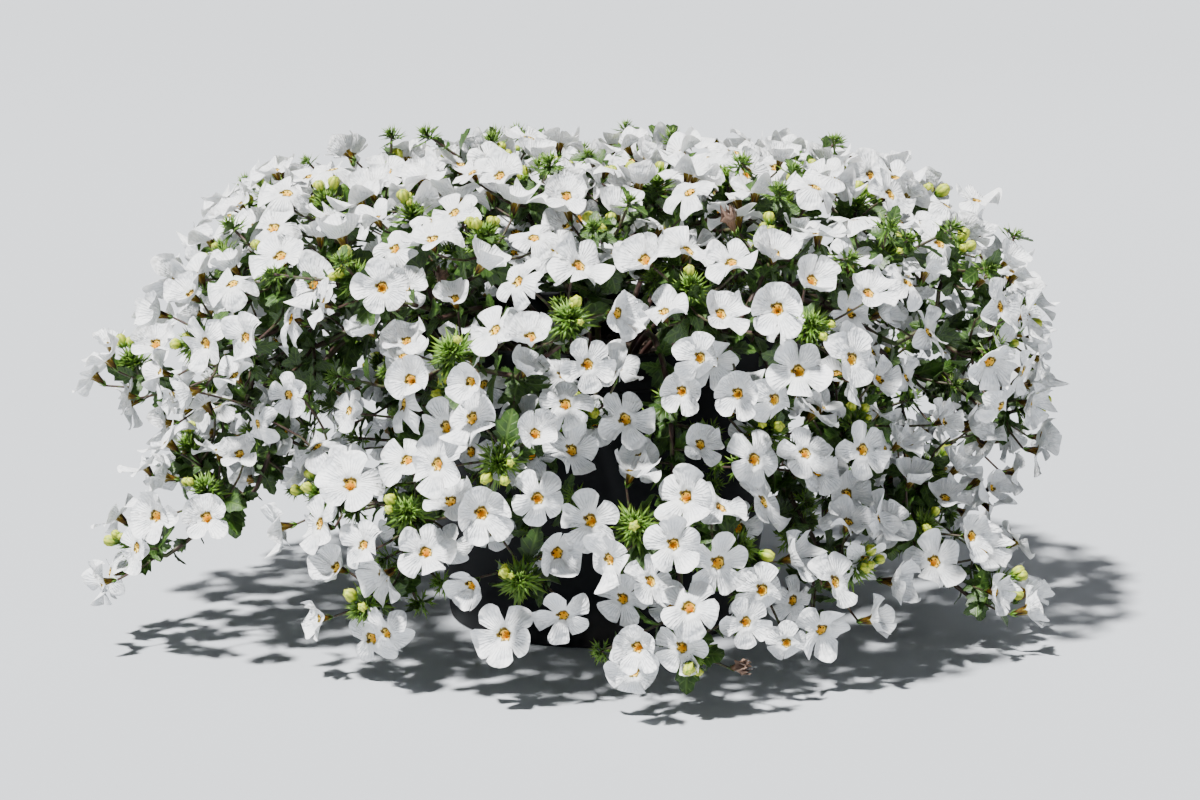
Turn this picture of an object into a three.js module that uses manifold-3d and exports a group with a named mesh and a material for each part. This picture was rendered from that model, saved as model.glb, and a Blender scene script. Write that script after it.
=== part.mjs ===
// A potted bacopa: a wide mound of small white five-lobed blooms that arches over a plain nursery pot.
// Millimetres, +Z up. The origin is the centre of the pot's base, and the plant's front looks along -Y.
import * as THREE from 'three';
import { mergeVertices } from 'three/addons/utils/BufferGeometryUtils.js';
import Module from 'manifold-3d';

const wasm = await Module();
wasm.setup();

// Driving dimensions of the pot and its soil
const POT_HEIGHT = 112;
const POT_BASE_RADIUS = 57;
const POT_RIM_RADIUS = 76;
const POT_WALL = 2;
const RIM_HEIGHT = 13;
const RIM_PROUD = 2;
const FLOOR_THICKNESS = 3;
const POT_SIDES = 28;
const SOIL_SIDES = 20;
const DRAIN_HOLES = 4;
const DRAIN_RADIUS = 5;
const DRAIN_CIRCLE = 32;
const SOIL_TOP = 98;
const CROWN_OF_SOIL = 2;
const LEVEL_SHARE_OF_SOIL = 0.85;
const CLEARANCE = 0.3;
const EDGE_CHAMFER = 1;
const DRILL_SIDES = 8;

// Driving dimensions of the plant
const CANOPY_RADIUS = 168;
const CANOPY_DEPTH = 152;
const CANOPY_SHIFT = -2;
const CANOPY_TOP = 175;
const CANOPY_WAIST = 78;
const CANOPY_SQUARENESS = 3.3;
const PROFILE_STEPS = 400;
const MOUND_SPIRAL = 24;
const TRAILING_ROOM = 52;
const SHOOTS_PER_STEM = 3;
const BLOOMS_PER_SHOOT = 5;
const SHOOT_SPREAD = 27;
const SHOOT_SPACING = 47;
const FORK_DEPTH = 36;
const TRAILING_FORK_DEPTH = 32;
const SHOOT_MEAN_DEPTH = 3;
const SHOOT_LIFT = 0.15;
const MOUND_LEAN = 0.12;
const TRAILING_LEAN = 0.45;
const ROOT_CIRCLE = 52;
const ROOT_DEPTH = 10;
const ROOT_SPACING = 11;
const HOLE_OPENING = 4;
const SADDLE_RADIUS = 80;
const SADDLE_SPACING = 12;
const ROUTE_STEPS = 4;
const FORK_LENGTH = 7;
const SHOOT_END = 10;
const SHOOT_STRETCH = 8;
const STEM_RADIUS = 1.5;
const SHOOT_RADIUS = 1.4;
const STALK_RADIUS = 0.75;
const BLOOM_RADIUS = 10.9;
const NOTCH_SHARE = 0.68;
const LOBES = 5;
const TUBE_DEPTH = 3.6;
const CALYX_RADIUS = 1.125;
const BLOOM_LAYER = 9;
const BLOOM_FLATNESS = 2.6;
const BLOOM_SPLAY = 0.018;
const BLOOM_REACH = 16.5;
const BLOOM_SETBACK = 1.5;
const BLOOM_CUP = 1.2;
const TWIG_ROOM = 2.5;
const POT_ROOM = 4;
const LEAF_LENGTH = 13;
const LEAF_WIDTH = 9.5;
const LEAF_STALK = 3.5;
const LEAF_LEAN = 0.25;
const NEEDLE_LENGTH = 8;
const NEEDLE_SPREAD = 3;
const TUFT_HEART = 3;
const NEAREST_BLOOM = 14.5;
const FURTHEST_BLOOM = 24;
const DEEPEST_BLOOM = -6;
const HIGHEST_BLOOM = 4;
const LOWEST_BLOOM = 17;
const LOWEST_LEAF = 9;

// How many times things are pushed apart, and the share of what is missing that each push gives
const SHOOT_PASSES = 40;
const ROOT_PASSES = 30;
const BLOOM_PASSES = 90;
const PUSH = 0.4;
const BLOOM_PUSH = 0.25;
const TRAILING_PUSH = 0.3;

const MOUND_SEED = 665196;
const SHOOT_SEED = 8797236;
const BLOOM_SEED = 109175556;

// How far the random draws carry a thing from its rule: millimetres, radians and shares of its size
const STRAY = {
  stemAzimuth: 0.12,
  shootTurn: 0.2,
  shootSpread: 0.12,
  shootDepth: 5,
  bloomTurn: 0.15,
  bloomReach: 2.5,
  bloomDepth: 3.5,
  bloomTilt: 0.12,
  bloomCup: 0.8,
  bloomSize: 0.07,
};

// The stems that reach past the mound, from what the plant shows: degrees round the pot from +X,
// the reach and height of the middle of the stem's three shoots, and how steeply it falls there.
const TRAILING_STEMS = [
  { azimuth: 178, reach: 151, height: 108, fall: 14 },
  { azimuth: -162, reach: 166, height: 66, fall: 50 },
  { azimuth: -126, reach: 139, height: 57, fall: 80 },
  { azimuth: -104, reach: 122, height: 82, fall: 68 },
  { azimuth: -76, reach: 140, height: 59, fall: 74 },
  { azimuth: -50, reach: 132, height: 70, fall: 65 },
  { azimuth: -22, reach: 140, height: 57, fall: 52 },
  { azimuth: 28, reach: 138, height: 67, fall: 60 },
  { azimuth: 76, reach: 136, height: 62, fall: 72 },
  { azimuth: 126, reach: 143, height: 62, fall: 65 },
];

// The way from the soil to a fork: where it is straight, how high it crosses the rim, and how it bows beyond
const ROUTE = {
  rise: 5,
  pastRim: 5,
  aboveRim: 13,
  trailingAboveRim: 8,
  aboveSlope: 6,
  bowOut: 8,
  bowUp: 4,
  longRun: 25,
  straightToFork: 14,
  backFromFork: 12,
  outwardAtFork: 0.6,
};

// Where a stem stands in the soil: shares of the root circle, more for a far or a low stem
const ROOT_SHARE = { least: 0.12, reach: 0.7, low: 0.35 };

const TURN = 2 * Math.PI;
const NEARLY_UP = 0.95;
const FORK_TURNS = 24;
const WELD = 1e-4;
const SPROUTS = BLOOMS_PER_SHOOT + 1;
const SPROUT_TURN = TURN / SPROUTS;
const GOLDEN_ANGLE = Math.PI * (3 - Math.sqrt(5));
const UP = new THREE.Vector3(0, 0, 1);
const ORIGIN = new THREE.Vector3();

// A seeded draw between -1 and 1, the same on every machine
function seededDraw(seed) {
  let state = seed;
  return () => {
    state = (state * 48271) % 2147483647;
    return (2 * state) / 2147483647 - 1;
  };
}

// a + b * share, for vectors
const along = (start, direction, distance) => start.clone().addScaledVector(direction, distance);
const radians = (degrees) => (degrees * Math.PI) / 180;

// Two unit vectors square to a direction and to each other, the first one as level as can be
function acrossAxes(direction) {
  const pole = Math.abs(direction.z) > NEARLY_UP ? new THREE.Vector3(1, 0, 0) : UP;
  const first = new THREE.Vector3().crossVectors(pole, direction).normalize();
  return [first, new THREE.Vector3().crossVectors(direction, first)];
}

// One closed surface that grows: rings of three corners joined by walls, with mouths opened for what sprouts
class Skin {
  constructor() {
    this.points = [];
    this.faces = [];
  }

  point(place) {
    return this.points.push(place.clone()) - 1;
  }

  face(a, b, c) {
    const corners = [a, b, c];
    this.faces.push(corners);
    return corners;
  }

  // Takes a face out and gives its corners, the mouth that something grows from
  open(face) {
    this.faces.splice(this.faces.indexOf(face), 1);
    return face;
  }

  middle(corners) {
    const sum = new THREE.Vector3();
    for (const corner of corners) sum.add(this.points[corner]);
    return sum.divideScalar(corners.length);
  }

  // Three corners round a centre, anticlockwise seen from the way it grows
  ring(centre, direction, radius, start = 0) {
    const [first, second] = acrossAxes(direction);
    return [0, 1, 2].map((corner) => {
      const angle = start + (corner * TURN) / 3;
      const place = along(centre, first, radius * Math.cos(angle));
      return this.point(place.addScaledVector(second, radius * Math.sin(angle)));
    });
  }

  // How far a ring is turned about its direction to carry on from a mouth with the least twist
  leastTurn(mouth, direction) {
    const [first, second] = acrossAxes(direction);
    const middle = this.middle(mouth);
    let x = 0;
    let y = 0;
    mouth.forEach((corner, order) => {
      const arm = this.points[corner].clone().sub(middle);
      const angle = Math.atan2(arm.dot(second), arm.dot(first)) - (order * TURN) / 3;
      x += Math.cos(angle);
      y += Math.sin(angle);
    });
    return Math.atan2(y, x);
  }

  ringFrom(mouth, centre, direction, radius) {
    return this.ring(centre, direction, radius, this.leastTurn(mouth, direction));
  }

  // Six faces between two rings of three: for each side the lower one, then the upper one
  wall(lower, upper) {
    const sides = [];
    for (let side = 0; side < 3; side += 1) {
      const next = (side + 1) % 3;
      sides.push(this.face(lower[side], lower[next], upper[next]));
      sides.push(this.face(lower[side], upper[next], upper[side]));
    }
    return sides;
  }

  // A wall whose sides are split so that they bulge, for rings turned against each other
  twistedWall(lower, upper) {
    const axis = new THREE.Line3(this.middle(lower), this.middle(upper));
    const fromAxis = (one, other) => {
      const halfway = this.middle([one, other]);
      return halfway.distanceTo(axis.closestPointToPoint(halfway, true, new THREE.Vector3()));
    };
    for (let side = 0; side < 3; side += 1) {
      const next = (side + 1) % 3;
      if (fromAxis(lower[side], upper[next]) > fromAxis(lower[next], upper[side])) {
        this.face(lower[side], lower[next], upper[next]);
        this.face(lower[side], upper[next], upper[side]);
      } else {
        this.face(lower[side], lower[next], upper[side]);
        this.face(lower[next], upper[next], upper[side]);
      }
    }
  }

  grow(mouth, centre, direction, radius) {
    const ring = this.ringFrom(mouth, centre, direction, radius);
    this.twistedWall(mouth, ring);
    return ring;
  }

  // A slim three-sided needle raised from a mouth
  needle(mouth, tip) {
    const end = this.point(tip);
    for (let side = 0; side < 3; side += 1) this.face(mouth[side], mouth[(side + 1) % 3], end);
  }

  geometry() {
    const geometry = new THREE.BufferGeometry();
    const flat = this.points.flatMap((place) => [place.x, place.y, place.z]);
    geometry.setAttribute('position', new THREE.Float32BufferAttribute(flat, 3));
    geometry.setIndex(this.faces.flat());
    return geometry;
  }
}

// The canopy's outline as a solid of revolution: height and radius at a share of the way down from the top
function canopyPoint(share) {
  const angle = (share * Math.PI) / 2;
  const power = 2 / CANOPY_SQUARENESS;
  return {
    radius: CANOPY_RADIUS * Math.sin(angle) ** power,
    height: CANOPY_WAIST + (CANOPY_TOP - CANOPY_WAIST) * Math.cos(angle) ** power,
  };
}

// The share of the way down that leaves a given share of the canopy's area above it
function canopyShare(areaShare) {
  const sums = [0];
  for (let step = 1; step <= PROFILE_STEPS; step += 1) {
    const from = canopyPoint((step - 1) / PROFILE_STEPS);
    const to = canopyPoint(step / PROFILE_STEPS);
    const slant = Math.hypot(to.radius - from.radius, to.height - from.height);
    sums.push(sums[step - 1] + (slant * (from.radius + to.radius)) / 2);
  }
  const wanted = areaShare * sums[PROFILE_STEPS];
  return sums.findIndex((sum) => sum >= wanted) / PROFILE_STEPS;
}

const CANOPY_HEART = new THREE.Vector3(CANOPY_SHIFT, 0, CANOPY_WAIST);
const CANOPY_SIZE = new THREE.Vector3(CANOPY_RADIUS, CANOPY_DEPTH, CANOPY_TOP - CANOPY_WAIST);

// A place in the canopy's own measure, where the canopy is one unit wide, deep and high
function inCanopy(place) {
  const arm = place.clone().sub(CANOPY_HEART).divide(CANOPY_SIZE);
  arm.z = Math.max(arm.z, 0);
  return arm;
}

// The outward direction of the canopy at a place near it
function canopyNormal(place) {
  const arm = inCanopy(place);
  const reach = Math.hypot(arm.x, arm.y);
  const outward = reach ** (CANOPY_SQUARENESS - 2);
  const slope = new THREE.Vector3(arm.x * outward, arm.y * outward, arm.z ** (CANOPY_SQUARENESS - 1));
  return slope.divide(CANOPY_SIZE).normalize();
}

// Moves a place in or out along its own line from the canopy's heart until it lies on the canopy
function ontoCanopy(place) {
  const arm = inCanopy(place);
  const power = CANOPY_SQUARENESS;
  const size = (Math.hypot(arm.x, arm.y) ** power + arm.z ** power) ** (1 / power);
  return arm.divideScalar(size).multiply(CANOPY_SIZE).add(CANOPY_HEART);
}

// The mound's stems lie on a golden spiral over the canopy, each with its shoots turned its own way
function moundStems(count) {
  const draw = seededDraw(MOUND_SEED);
  const stems = [];
  for (let index = 0; index < count; index += 1) {
    const { radius, height } = canopyPoint(canopyShare((index + 0.5) / count));
    const azimuth = index * GOLDEN_ANGLE + STRAY.stemAzimuth * draw();
    const depth = (radius * CANOPY_DEPTH) / CANOPY_RADIUS;
    const middle = new THREE.Vector3(radius * Math.cos(azimuth), depth * Math.sin(azimuth), height);
    middle.x += CANOPY_SHIFT;
    const outward = canopyNormal(middle);
    const [first, second] = acrossAxes(outward);
    const turn = Math.PI * draw();
    const ahead = first.multiplyScalar(Math.cos(turn)).addScaledVector(second, Math.sin(turn));
    stems.push({ middle, outward, ahead, trailing: false });
  }
  return stems;
}

function trailingStems() {
  return TRAILING_STEMS.map(({ azimuth, reach, height, fall }) => {
    const out = new THREE.Vector3(Math.cos(radians(azimuth)), Math.sin(radians(azimuth)), 0);
    const steepness = Math.sin(radians(fall));
    const level = Math.cos(radians(fall));
    const ahead = out.clone().multiplyScalar(level).addScaledVector(UP, -steepness);
    const outward = out.clone().multiplyScalar(steepness).addScaledVector(UP, level);
    const middle = along(UP.clone().multiplyScalar(height), out, reach);
    return { middle, outward, ahead, trailing: true };
  });
}

// Three shoots round the middle of each stem, the first one straight ahead
function placeShoots(stems) {
  const draw = seededDraw(SHOOT_SEED);
  for (const stem of stems) {
    const aside = new THREE.Vector3().crossVectors(stem.outward, stem.ahead);
    stem.shoots = [];
    for (let order = 0; order < SHOOTS_PER_STEM; order += 1) {
      const angle = (order * TURN) / SHOOTS_PER_STEM + STRAY.shootTurn * draw();
      const spread = SHOOT_SPREAD * (1 + STRAY.shootSpread * draw());
      const tip = along(stem.middle, stem.ahead, spread * Math.cos(angle));
      tip.addScaledVector(aside, spread * Math.sin(angle));
      stem.shoots.push({ stem, tip, sink: STRAY.shootDepth * draw() - SHOOT_MEAN_DEPTH });
    }
  }
  return stems.flatMap((stem) => stem.shoots);
}

// One step that moves places less than a spacing apart away from each other: a push for each place
function pushApart(places, spacing) {
  const pushes = places.map(() => new THREE.Vector3());
  places.forEach((place, order) => {
    for (let other = order + 1; other < places.length; other += 1) {
      const gap = place.clone().sub(places[other]);
      const distance = gap.length();
      if (distance < spacing) {
        gap.multiplyScalar((PUSH * (spacing - distance)) / distance);
        pushes[order].add(gap);
        pushes[other].sub(gap);
      }
    }
  });
  return pushes;
}

// Pushes the mound's shoots apart over the canopy until they are evenly spread
function spreadShoots(shoots) {
  for (let pass = 0; pass < SHOOT_PASSES; pass += 1) {
    const pushes = pushApart(shoots.map((shoot) => shoot.tip), SHOOT_SPACING);
    shoots.forEach((shoot, order) => {
      const push = pushes[order];
      const { outward, trailing } = shoot.stem;
      if (trailing) {
        push.addScaledVector(outward, -push.dot(outward));
        shoot.tip.addScaledVector(push, TRAILING_PUSH);
      } else {
        shoot.tip = ontoCanopy(shoot.tip.add(push));
      }
    });
  }
  for (const stem of new Set(shoots.map((shoot) => shoot.stem))) {
    if (stem.trailing) continue;
    stem.middle = stem.shoots.reduce((sum, shoot) => sum.add(shoot.tip), new THREE.Vector3());
    stem.middle.divideScalar(SHOOTS_PER_STEM);
    stem.outward = canopyNormal(stem.middle);
  }
  for (const shoot of shoots) {
    const lean = shoot.tip.clone().sub(shoot.stem.middle).normalize();
    const outward = shoot.stem.trailing ? shoot.stem.outward : canopyNormal(shoot.tip);
    const share = shoot.stem.trailing ? TRAILING_LEAN : MOUND_LEAN;
    shoot.direction = outward.clone().addScaledVector(lean, share).addScaledVector(UP, SHOOT_LIFT);
    shoot.direction.normalize();
    shoot.tip.addScaledVector(shoot.direction, shoot.sink);
  }
}

// Five blooms round each shoot's tip
function placeBlooms(shoots) {
  const draw = seededDraw(BLOOM_SEED);
  for (const shoot of shoots) {
    const [first, second] = acrossAxes(shoot.direction);
    const start = Math.PI * draw();
    shoot.blooms = [];
    for (let order = 0; order < BLOOMS_PER_SHOOT; order += 1) {
      const angle = start + (order * TURN) / BLOOMS_PER_SHOOT + STRAY.bloomTurn * draw();
      const reach = BLOOM_REACH + STRAY.bloomReach * draw();
      const centre = along(shoot.tip, first, reach * Math.cos(angle));
      centre.addScaledVector(second, reach * Math.sin(angle));
      centre.addScaledVector(shoot.direction, -BLOOM_SETBACK + STRAY.bloomDepth * draw());
      const tilt = new THREE.Vector3(draw(), draw(), draw()).multiplyScalar(STRAY.bloomTilt);
      const turn = Math.PI * draw();
      const cup = BLOOM_CUP + STRAY.bloomCup * draw();
      shoot.blooms.push({ shoot, centre, tilt, turn, cup, size: 1 + STRAY.bloomSize * draw() });
    }
  }
  return shoots.flatMap((shoot) => shoot.blooms);
}

// Pushes all blooms apart as flat round cushions, and off the stems and stalks, until none is crossed
function spreadBlooms(blooms, twigs) {
  for (let pass = 0; pass < BLOOM_PASSES; pass += 1) {
    blooms.forEach((bloom, order) => {
      for (const other of blooms.slice(order + 1)) partBlooms(bloom, other);
    });
    const stalks = blooms.map((bloom) => {
      return { owner: bloom, from: stalkFoot(bloom), to: bloom.centre.clone() };
    });
    for (const bloom of blooms) {
      for (const twig of twigs) if (twig.owner !== bloom.shoot) clearOfTwig(bloom, twig);
      for (const stalk of stalks) if (stalk.owner !== bloom) clearOfTwig(bloom, stalk);
      holdBloom(bloom);
    }
  }
  for (const bloom of blooms) {
    const { tip, direction } = bloom.shoot;
    const aside = bloom.centre.clone().sub(tip);
    aside.addScaledVector(direction, -aside.dot(direction));
    bloom.facing = direction.clone().addScaledVector(aside, BLOOM_SPLAY).add(bloom.tilt).normalize();
  }
}

function partBlooms(bloom, other) {
  const across = 2 * BLOOM_RADIUS;
  const gap = bloom.centre.clone().sub(other.centre);
  if (gap.lengthSq() > across * across) return;
  const axis = bloom.shoot.direction.clone().add(other.shoot.direction).normalize();
  const axial = gap.dot(axis);
  const sideways = gap.addScaledVector(axis, -axial);
  const flat = sideways.length();
  const spacing = Math.hypot(flat / across, axial / BLOOM_LAYER);
  if (spacing >= 1) return;
  const push = BLOOM_PUSH * (1 - spacing);
  const shift = sideways.multiplyScalar((push * across) / Math.max(flat, 1));
  shift.addScaledVector(axis, push * BLOOM_LAYER * Math.sign(axial));
  bloom.centre.add(shift);
  other.centre.sub(shift);
}

const stalkFoot = ({ shoot }) => along(shoot.tip, shoot.direction, -SHOOT_END - SHOOT_STRETCH / 2);

// Moves a bloom off a twig. Distances along the bloom's axis are drawn out, so that the bloom counts as round
function clearOfTwig(bloom, { from, to }) {
  const axis = bloom.shoot.direction;
  const heart = along(bloom.centre, axis, -TUBE_DEPTH / 2);
  const drawnOut = (place) => {
    const arm = place.clone().sub(heart);
    return arm.addScaledVector(axis, arm.dot(axis) * (BLOOM_FLATNESS - 1));
  };
  const stretch = new THREE.Line3(drawnOut(from), drawnOut(to));
  const nearest = stretch.closestPointToPoint(ORIGIN, true, new THREE.Vector3());
  const distance = nearest.length();
  const room = BLOOM_RADIUS + TWIG_ROOM;
  if (distance > room) return;
  const push = nearest.multiplyScalar((-PUSH * (room - distance)) / Math.max(distance, 1));
  bloom.centre.add(push.addScaledVector(axis, push.dot(axis) * (1 / BLOOM_FLATNESS - 1)));
}

// The straight stretches of the stems, each owned by the shoot whose blooms it may touch
function twigsOf(stems) {
  const twigs = [];
  for (const stem of stems) {
    const places = [];
    for (let step = 0; step <= ROUTE_STEPS; step += 1) places.push(stem.route.getPoint(step / ROUTE_STEPS));
    places.push(along(stem.fork, stem.forkway, FORK_LENGTH));
    for (let step = 1; step < places.length; step += 1) {
      twigs.push({ owner: null, from: places[step - 1], to: places[step] });
    }
    for (const shoot of stem.shoots) {
      const low = along(shoot.tip, shoot.direction, -SHOOT_END - SHOOT_STRETCH);
      twigs.push({ owner: null, from: places[places.length - 1], to: low });
      twigs.push({ owner: shoot, from: low, to: shoot.tip });
    }
  }
  return twigs;
}

// Keeps a bloom within reach of its shoot, above the ground and off the pot
function holdBloom(bloom) {
  const { tip, direction } = bloom.shoot;
  const arm = bloom.centre.clone().sub(tip);
  const axial = Math.min(Math.max(arm.dot(direction), DEEPEST_BLOOM), HIGHEST_BLOOM);
  const sideways = arm.addScaledVector(direction, -arm.dot(direction));
  const flat = Math.min(Math.max(sideways.length(), NEAREST_BLOOM), FURTHEST_BLOOM);
  bloom.centre = along(tip, sideways.normalize(), flat).addScaledVector(direction, axial);
  bloom.centre.z = Math.max(bloom.centre.z, LOWEST_BLOOM);
  const radius = Math.hypot(bloom.centre.x, bloom.centre.y);
  const clear = POT_RIM_RADIUS + BLOOM_RADIUS + POT_ROOM;
  if (bloom.centre.z < POT_HEIGHT + BLOOM_RADIUS && radius < clear) {
    bloom.centre.x *= clear / radius;
    bloom.centre.y *= clear / radius;
  }
}

// A five-lobed bloom: a star-edged face on a shallow cone, at the end of its stalk
function addBloom(skin, mouth, bloom) {
  const radius = BLOOM_RADIUS * bloom.size;
  const [first, second] = acrossAxes(bloom.facing);
  const back = along(bloom.centre, bloom.facing, -TUBE_DEPTH);
  const ring = skin.grow(mouth, back, bloom.facing, CALYX_RADIUS);
  const edge = [];
  for (let step = 0; step < 2 * LOBES; step += 1) {
    const lobeTip = step % 2 === 1;
    const angle = bloom.turn + (step * TURN) / (2 * LOBES);
    const reach = lobeTip ? radius : radius * NOTCH_SHARE;
    const place = along(bloom.centre, first, reach * Math.cos(angle));
    place.addScaledVector(second, reach * Math.sin(angle));
    if (lobeTip) place.addScaledVector(bloom.facing, bloom.cup);
    edge.push({ corner: skin.point(place), angle });
  }
  const ringAngles = ring.map((corner) => {
    const arm = skin.points[corner].clone().sub(bloom.centre);
    return Math.atan2(arm.dot(second), arm.dot(first));
  });
  const nearest = (angle) => {
    const closeness = ringAngles.map((ringAngle) => Math.cos(ringAngle - angle));
    return closeness.indexOf(Math.max(...closeness));
  };
  let held = nearest(edge[edge.length - 1].angle + Math.PI / (2 * LOBES));
  edge.forEach(({ corner, angle }, step) => {
    const next = edge[(step + 1) % edge.length].corner;
    const ringCorner = nearest(angle + Math.PI / (2 * LOBES));
    if (ringCorner !== held) skin.face(ring[held], ring[ringCorner], corner);
    skin.face(ring[ringCorner], next, corner);
    held = ringCorner;
  });
  for (let lobe = 0; lobe < LOBES; lobe += 1) {
    const from = edge[2 * lobe].corner;
    const to = edge[(2 * lobe + 2) % edge.length].corner;
    skin.face(from, edge[2 * lobe + 1].corner, to);
    if (lobe > 0 && lobe < LOBES - 1) skin.face(edge[0].corner, from, to);
  }
}

// A coarse-toothed leaf, arched along its midrib: shares of its length and half width from stalk to tip
const LEAF_EDGE = [
  { length: 0.4, width: 1 },
  { length: 0.46, width: 0.66 },
  { length: 0.74, width: 0.7 },
];
const LEAF_TIP_DROP = 1;
const LEAF_MIDDLE = 0.5;
const LEAF_RIB_DROP = 0.9;
const LEAF_CREST_RISE = 0.3;

function addLeaf(skin, mouth, base, direction, upward) {
  const length = LEAF_LENGTH;
  const across = new THREE.Vector3().crossVectors(upward, direction).normalize();
  const top = new THREE.Vector3().crossVectors(direction, across);
  const ring = skin.grow(mouth, base, direction, STALK_RADIUS);
  const place = (share, side, lift) => {
    const spot = along(base, direction, length * share);
    return skin.point(spot.addScaledVector(across, side).addScaledVector(top, lift));
  };
  const half = LEAF_WIDTH / 2;
  const left = LEAF_EDGE.map((tooth) => place(tooth.length, half * tooth.width, 0));
  const right = LEAF_EDGE.map((tooth) => place(tooth.length, -half * tooth.width, 0));
  const outline = [...right, place(1, 0, -LEAF_TIP_DROP), ...left.reverse()];
  const rib = place(LEAF_MIDDLE, 0, -LEAF_RIB_DROP);
  const crest = place(LEAF_MIDDLE, 0, LEAF_CREST_RISE);
  // The ring's corner that lies lowest is the keel, and the other two carry the upper face
  const heights = ring.map((corner) => skin.points[corner].dot(top));
  const keel = heights.indexOf(Math.min(...heights));
  const leftCorner = ring[(keel + 1) % 3];
  const rightCorner = ring[(keel + 2) % 3];
  const rim = [rightCorner, ...outline, leftCorner];
  for (let step = 0; step + 1 < rim.length; step += 1) {
    skin.face(rim[step], rim[step + 1], crest);
    skin.face(rim[step + 1], rim[step], rib);
  }
  skin.face(leftCorner, rightCorner, crest);
  skin.face(rightCorner, ring[keel], rib);
  skin.face(ring[keel], leftCorner, rib);
}

// Bends a leaf's direction up, if it needs to be, so that its tip stays off the ground
function offTheGround(direction, foot) {
  const drop = Math.max(direction.z, (LOWEST_LEAF - foot.z) / (LEAF_LENGTH + LEAF_STALK));
  const level = new THREE.Vector3(direction.x, direction.y, 0);
  level.setLength(Math.sqrt(1 - Math.min(drop * drop, 1)));
  return level.addScaledVector(UP, drop).normalize();
}

// The end of a shoot: a short stretch whose six faces carry five stalks and a leaf, and a tuft of needles
function addShootEnd(skin, mouth, shoot) {
  const { tip, direction } = shoot;
  const high = along(tip, direction, -SHOOT_END);
  const low = along(high, direction, -SHOOT_STRETCH);
  const [first, second] = acrossAxes(direction);
  const bearing = (place) => {
    const arm = place.clone().sub(tip);
    return Math.atan2(arm.dot(second), arm.dot(first));
  };
  const sprouts = shoot.blooms.map((bloom) => ({ bloom, angle: bearing(bloom.centre) }));
  sprouts.sort((one, other) => one.angle - other.angle);
  const gaps = sprouts.map((sprout, order) => {
    const next = sprouts[(order + 1) % sprouts.length];
    return (next.angle - sprout.angle + TURN) % TURN;
  });
  const widest = gaps.indexOf(Math.max(...gaps));
  sprouts.splice(widest + 1, 0, { bloom: null, angle: sprouts[widest].angle + gaps[widest] / 2 });
  // The stretch is turned so that each of its three sides faces a pair of sprouts, with the least twist
  let x = 0;
  let y = 0;
  sprouts.forEach(({ angle }, order) => {
    const turned = angle - (order + 0.5) * SPROUT_TURN;
    x += Math.cos(turned);
    y += Math.sin(turned);
  });
  const paired = Math.atan2(y, x);
  const shift = Math.round((skin.leastTurn(mouth, direction) - paired) / SPROUT_TURN);
  const highRing = skin.ring(high, direction, SHOOT_RADIUS, paired + shift * SPROUT_TURN);
  // The lower ring lies in the plane that halves the bend between the way in and the shoot's end
  const bend = low.clone().sub(skin.middle(mouth)).normalize().add(direction).normalize();
  const lowRing = highRing.map((corner) => {
    const arm = skin.points[corner].clone().sub(low);
    return skin.point(along(skin.points[corner], direction, -arm.dot(bend) / direction.dot(bend)));
  });
  joinMouth(skin, mouth, lowRing);
  const sides = skin.wall(lowRing, highRing);
  sprouts.forEach(({ bloom, angle }, order) => {
    const slot = (order - shift + 2 * SPROUTS) % SPROUTS;
    const opened = skin.open(sides[slot % 2 === 0 ? slot + 1 : slot - 1]);
    if (bloom) {
      addBloom(skin, opened, bloom);
      return;
    }
    const out = first.clone().multiplyScalar(Math.cos(angle)).addScaledVector(second, Math.sin(angle));
    const foot = skin.middle(opened);
    const leafway = offTheGround(out.addScaledVector(direction, LEAF_LEAN).normalize(), foot);
    addLeaf(skin, opened, along(foot, leafway, LEAF_STALK), leafway, direction);
  });
  const heart = skin.point(along(high, direction, TUFT_HEART));
  highRing.forEach((corner, order) => {
    const next = highRing[(order + 1) % 3];
    const out = skin.middle([corner, next]).sub(high).normalize();
    const point = along(high, direction, NEEDLE_LENGTH).addScaledVector(out, NEEDLE_SPREAD);
    skin.needle([corner, next, heart], point);
  });
}

// Walls between a mouth and a ring that is already turned its own way, corner to nearest corner
function joinMouth(skin, mouth, ring) {
  let best = 0;
  let least = Infinity;
  for (let shift = 0; shift < 3; shift += 1) {
    const length = mouth.reduce((sum, corner, order) => {
      return sum + skin.points[corner].distanceTo(skin.points[ring[(order + shift) % 3]]);
    }, 0);
    if (length < least) {
      least = length;
      best = shift;
    }
  }
  skin.twistedWall(mouth, [0, 1, 2].map((order) => ring[(order + best) % 3]));
}

// Where the stems stand in the soil, further out the further they reach, and where they pass over the rim
function rootStems(stems) {
  const flat = stems.map((stem) => new THREE.Vector3(stem.middle.x, stem.middle.y, 0));
  const roots = flat.map((middle, order) => {
    const low = Math.max(POT_HEIGHT - stems[order].middle.z, 0) / POT_HEIGHT;
    const { least, reach, low: lowShare } = ROOT_SHARE;
    const share = Math.min(least + (reach * middle.length()) / CANOPY_RADIUS + lowShare * low, 1);
    return middle.clone().setLength(ROOT_CIRCLE * share);
  });
  const saddles = flat.map((middle) => middle.clone().setLength(SADDLE_RADIUS));
  for (let pass = 0; pass < ROOT_PASSES; pass += 1) {
    pushApart(roots, ROOT_SPACING).forEach((push, order) => {
      roots[order].add(push).clampLength(0, ROOT_CIRCLE);
    });
    pushApart(saddles, SADDLE_SPACING).forEach((push, order) => {
      saddles[order].add(push).setLength(SADDLE_RADIUS);
    });
  }
  stems.forEach((stem, order) => {
    stem.root = roots[order].setZ(SOIL_TOP);
    stem.saddle = saddles[order];
  });
}

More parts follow.
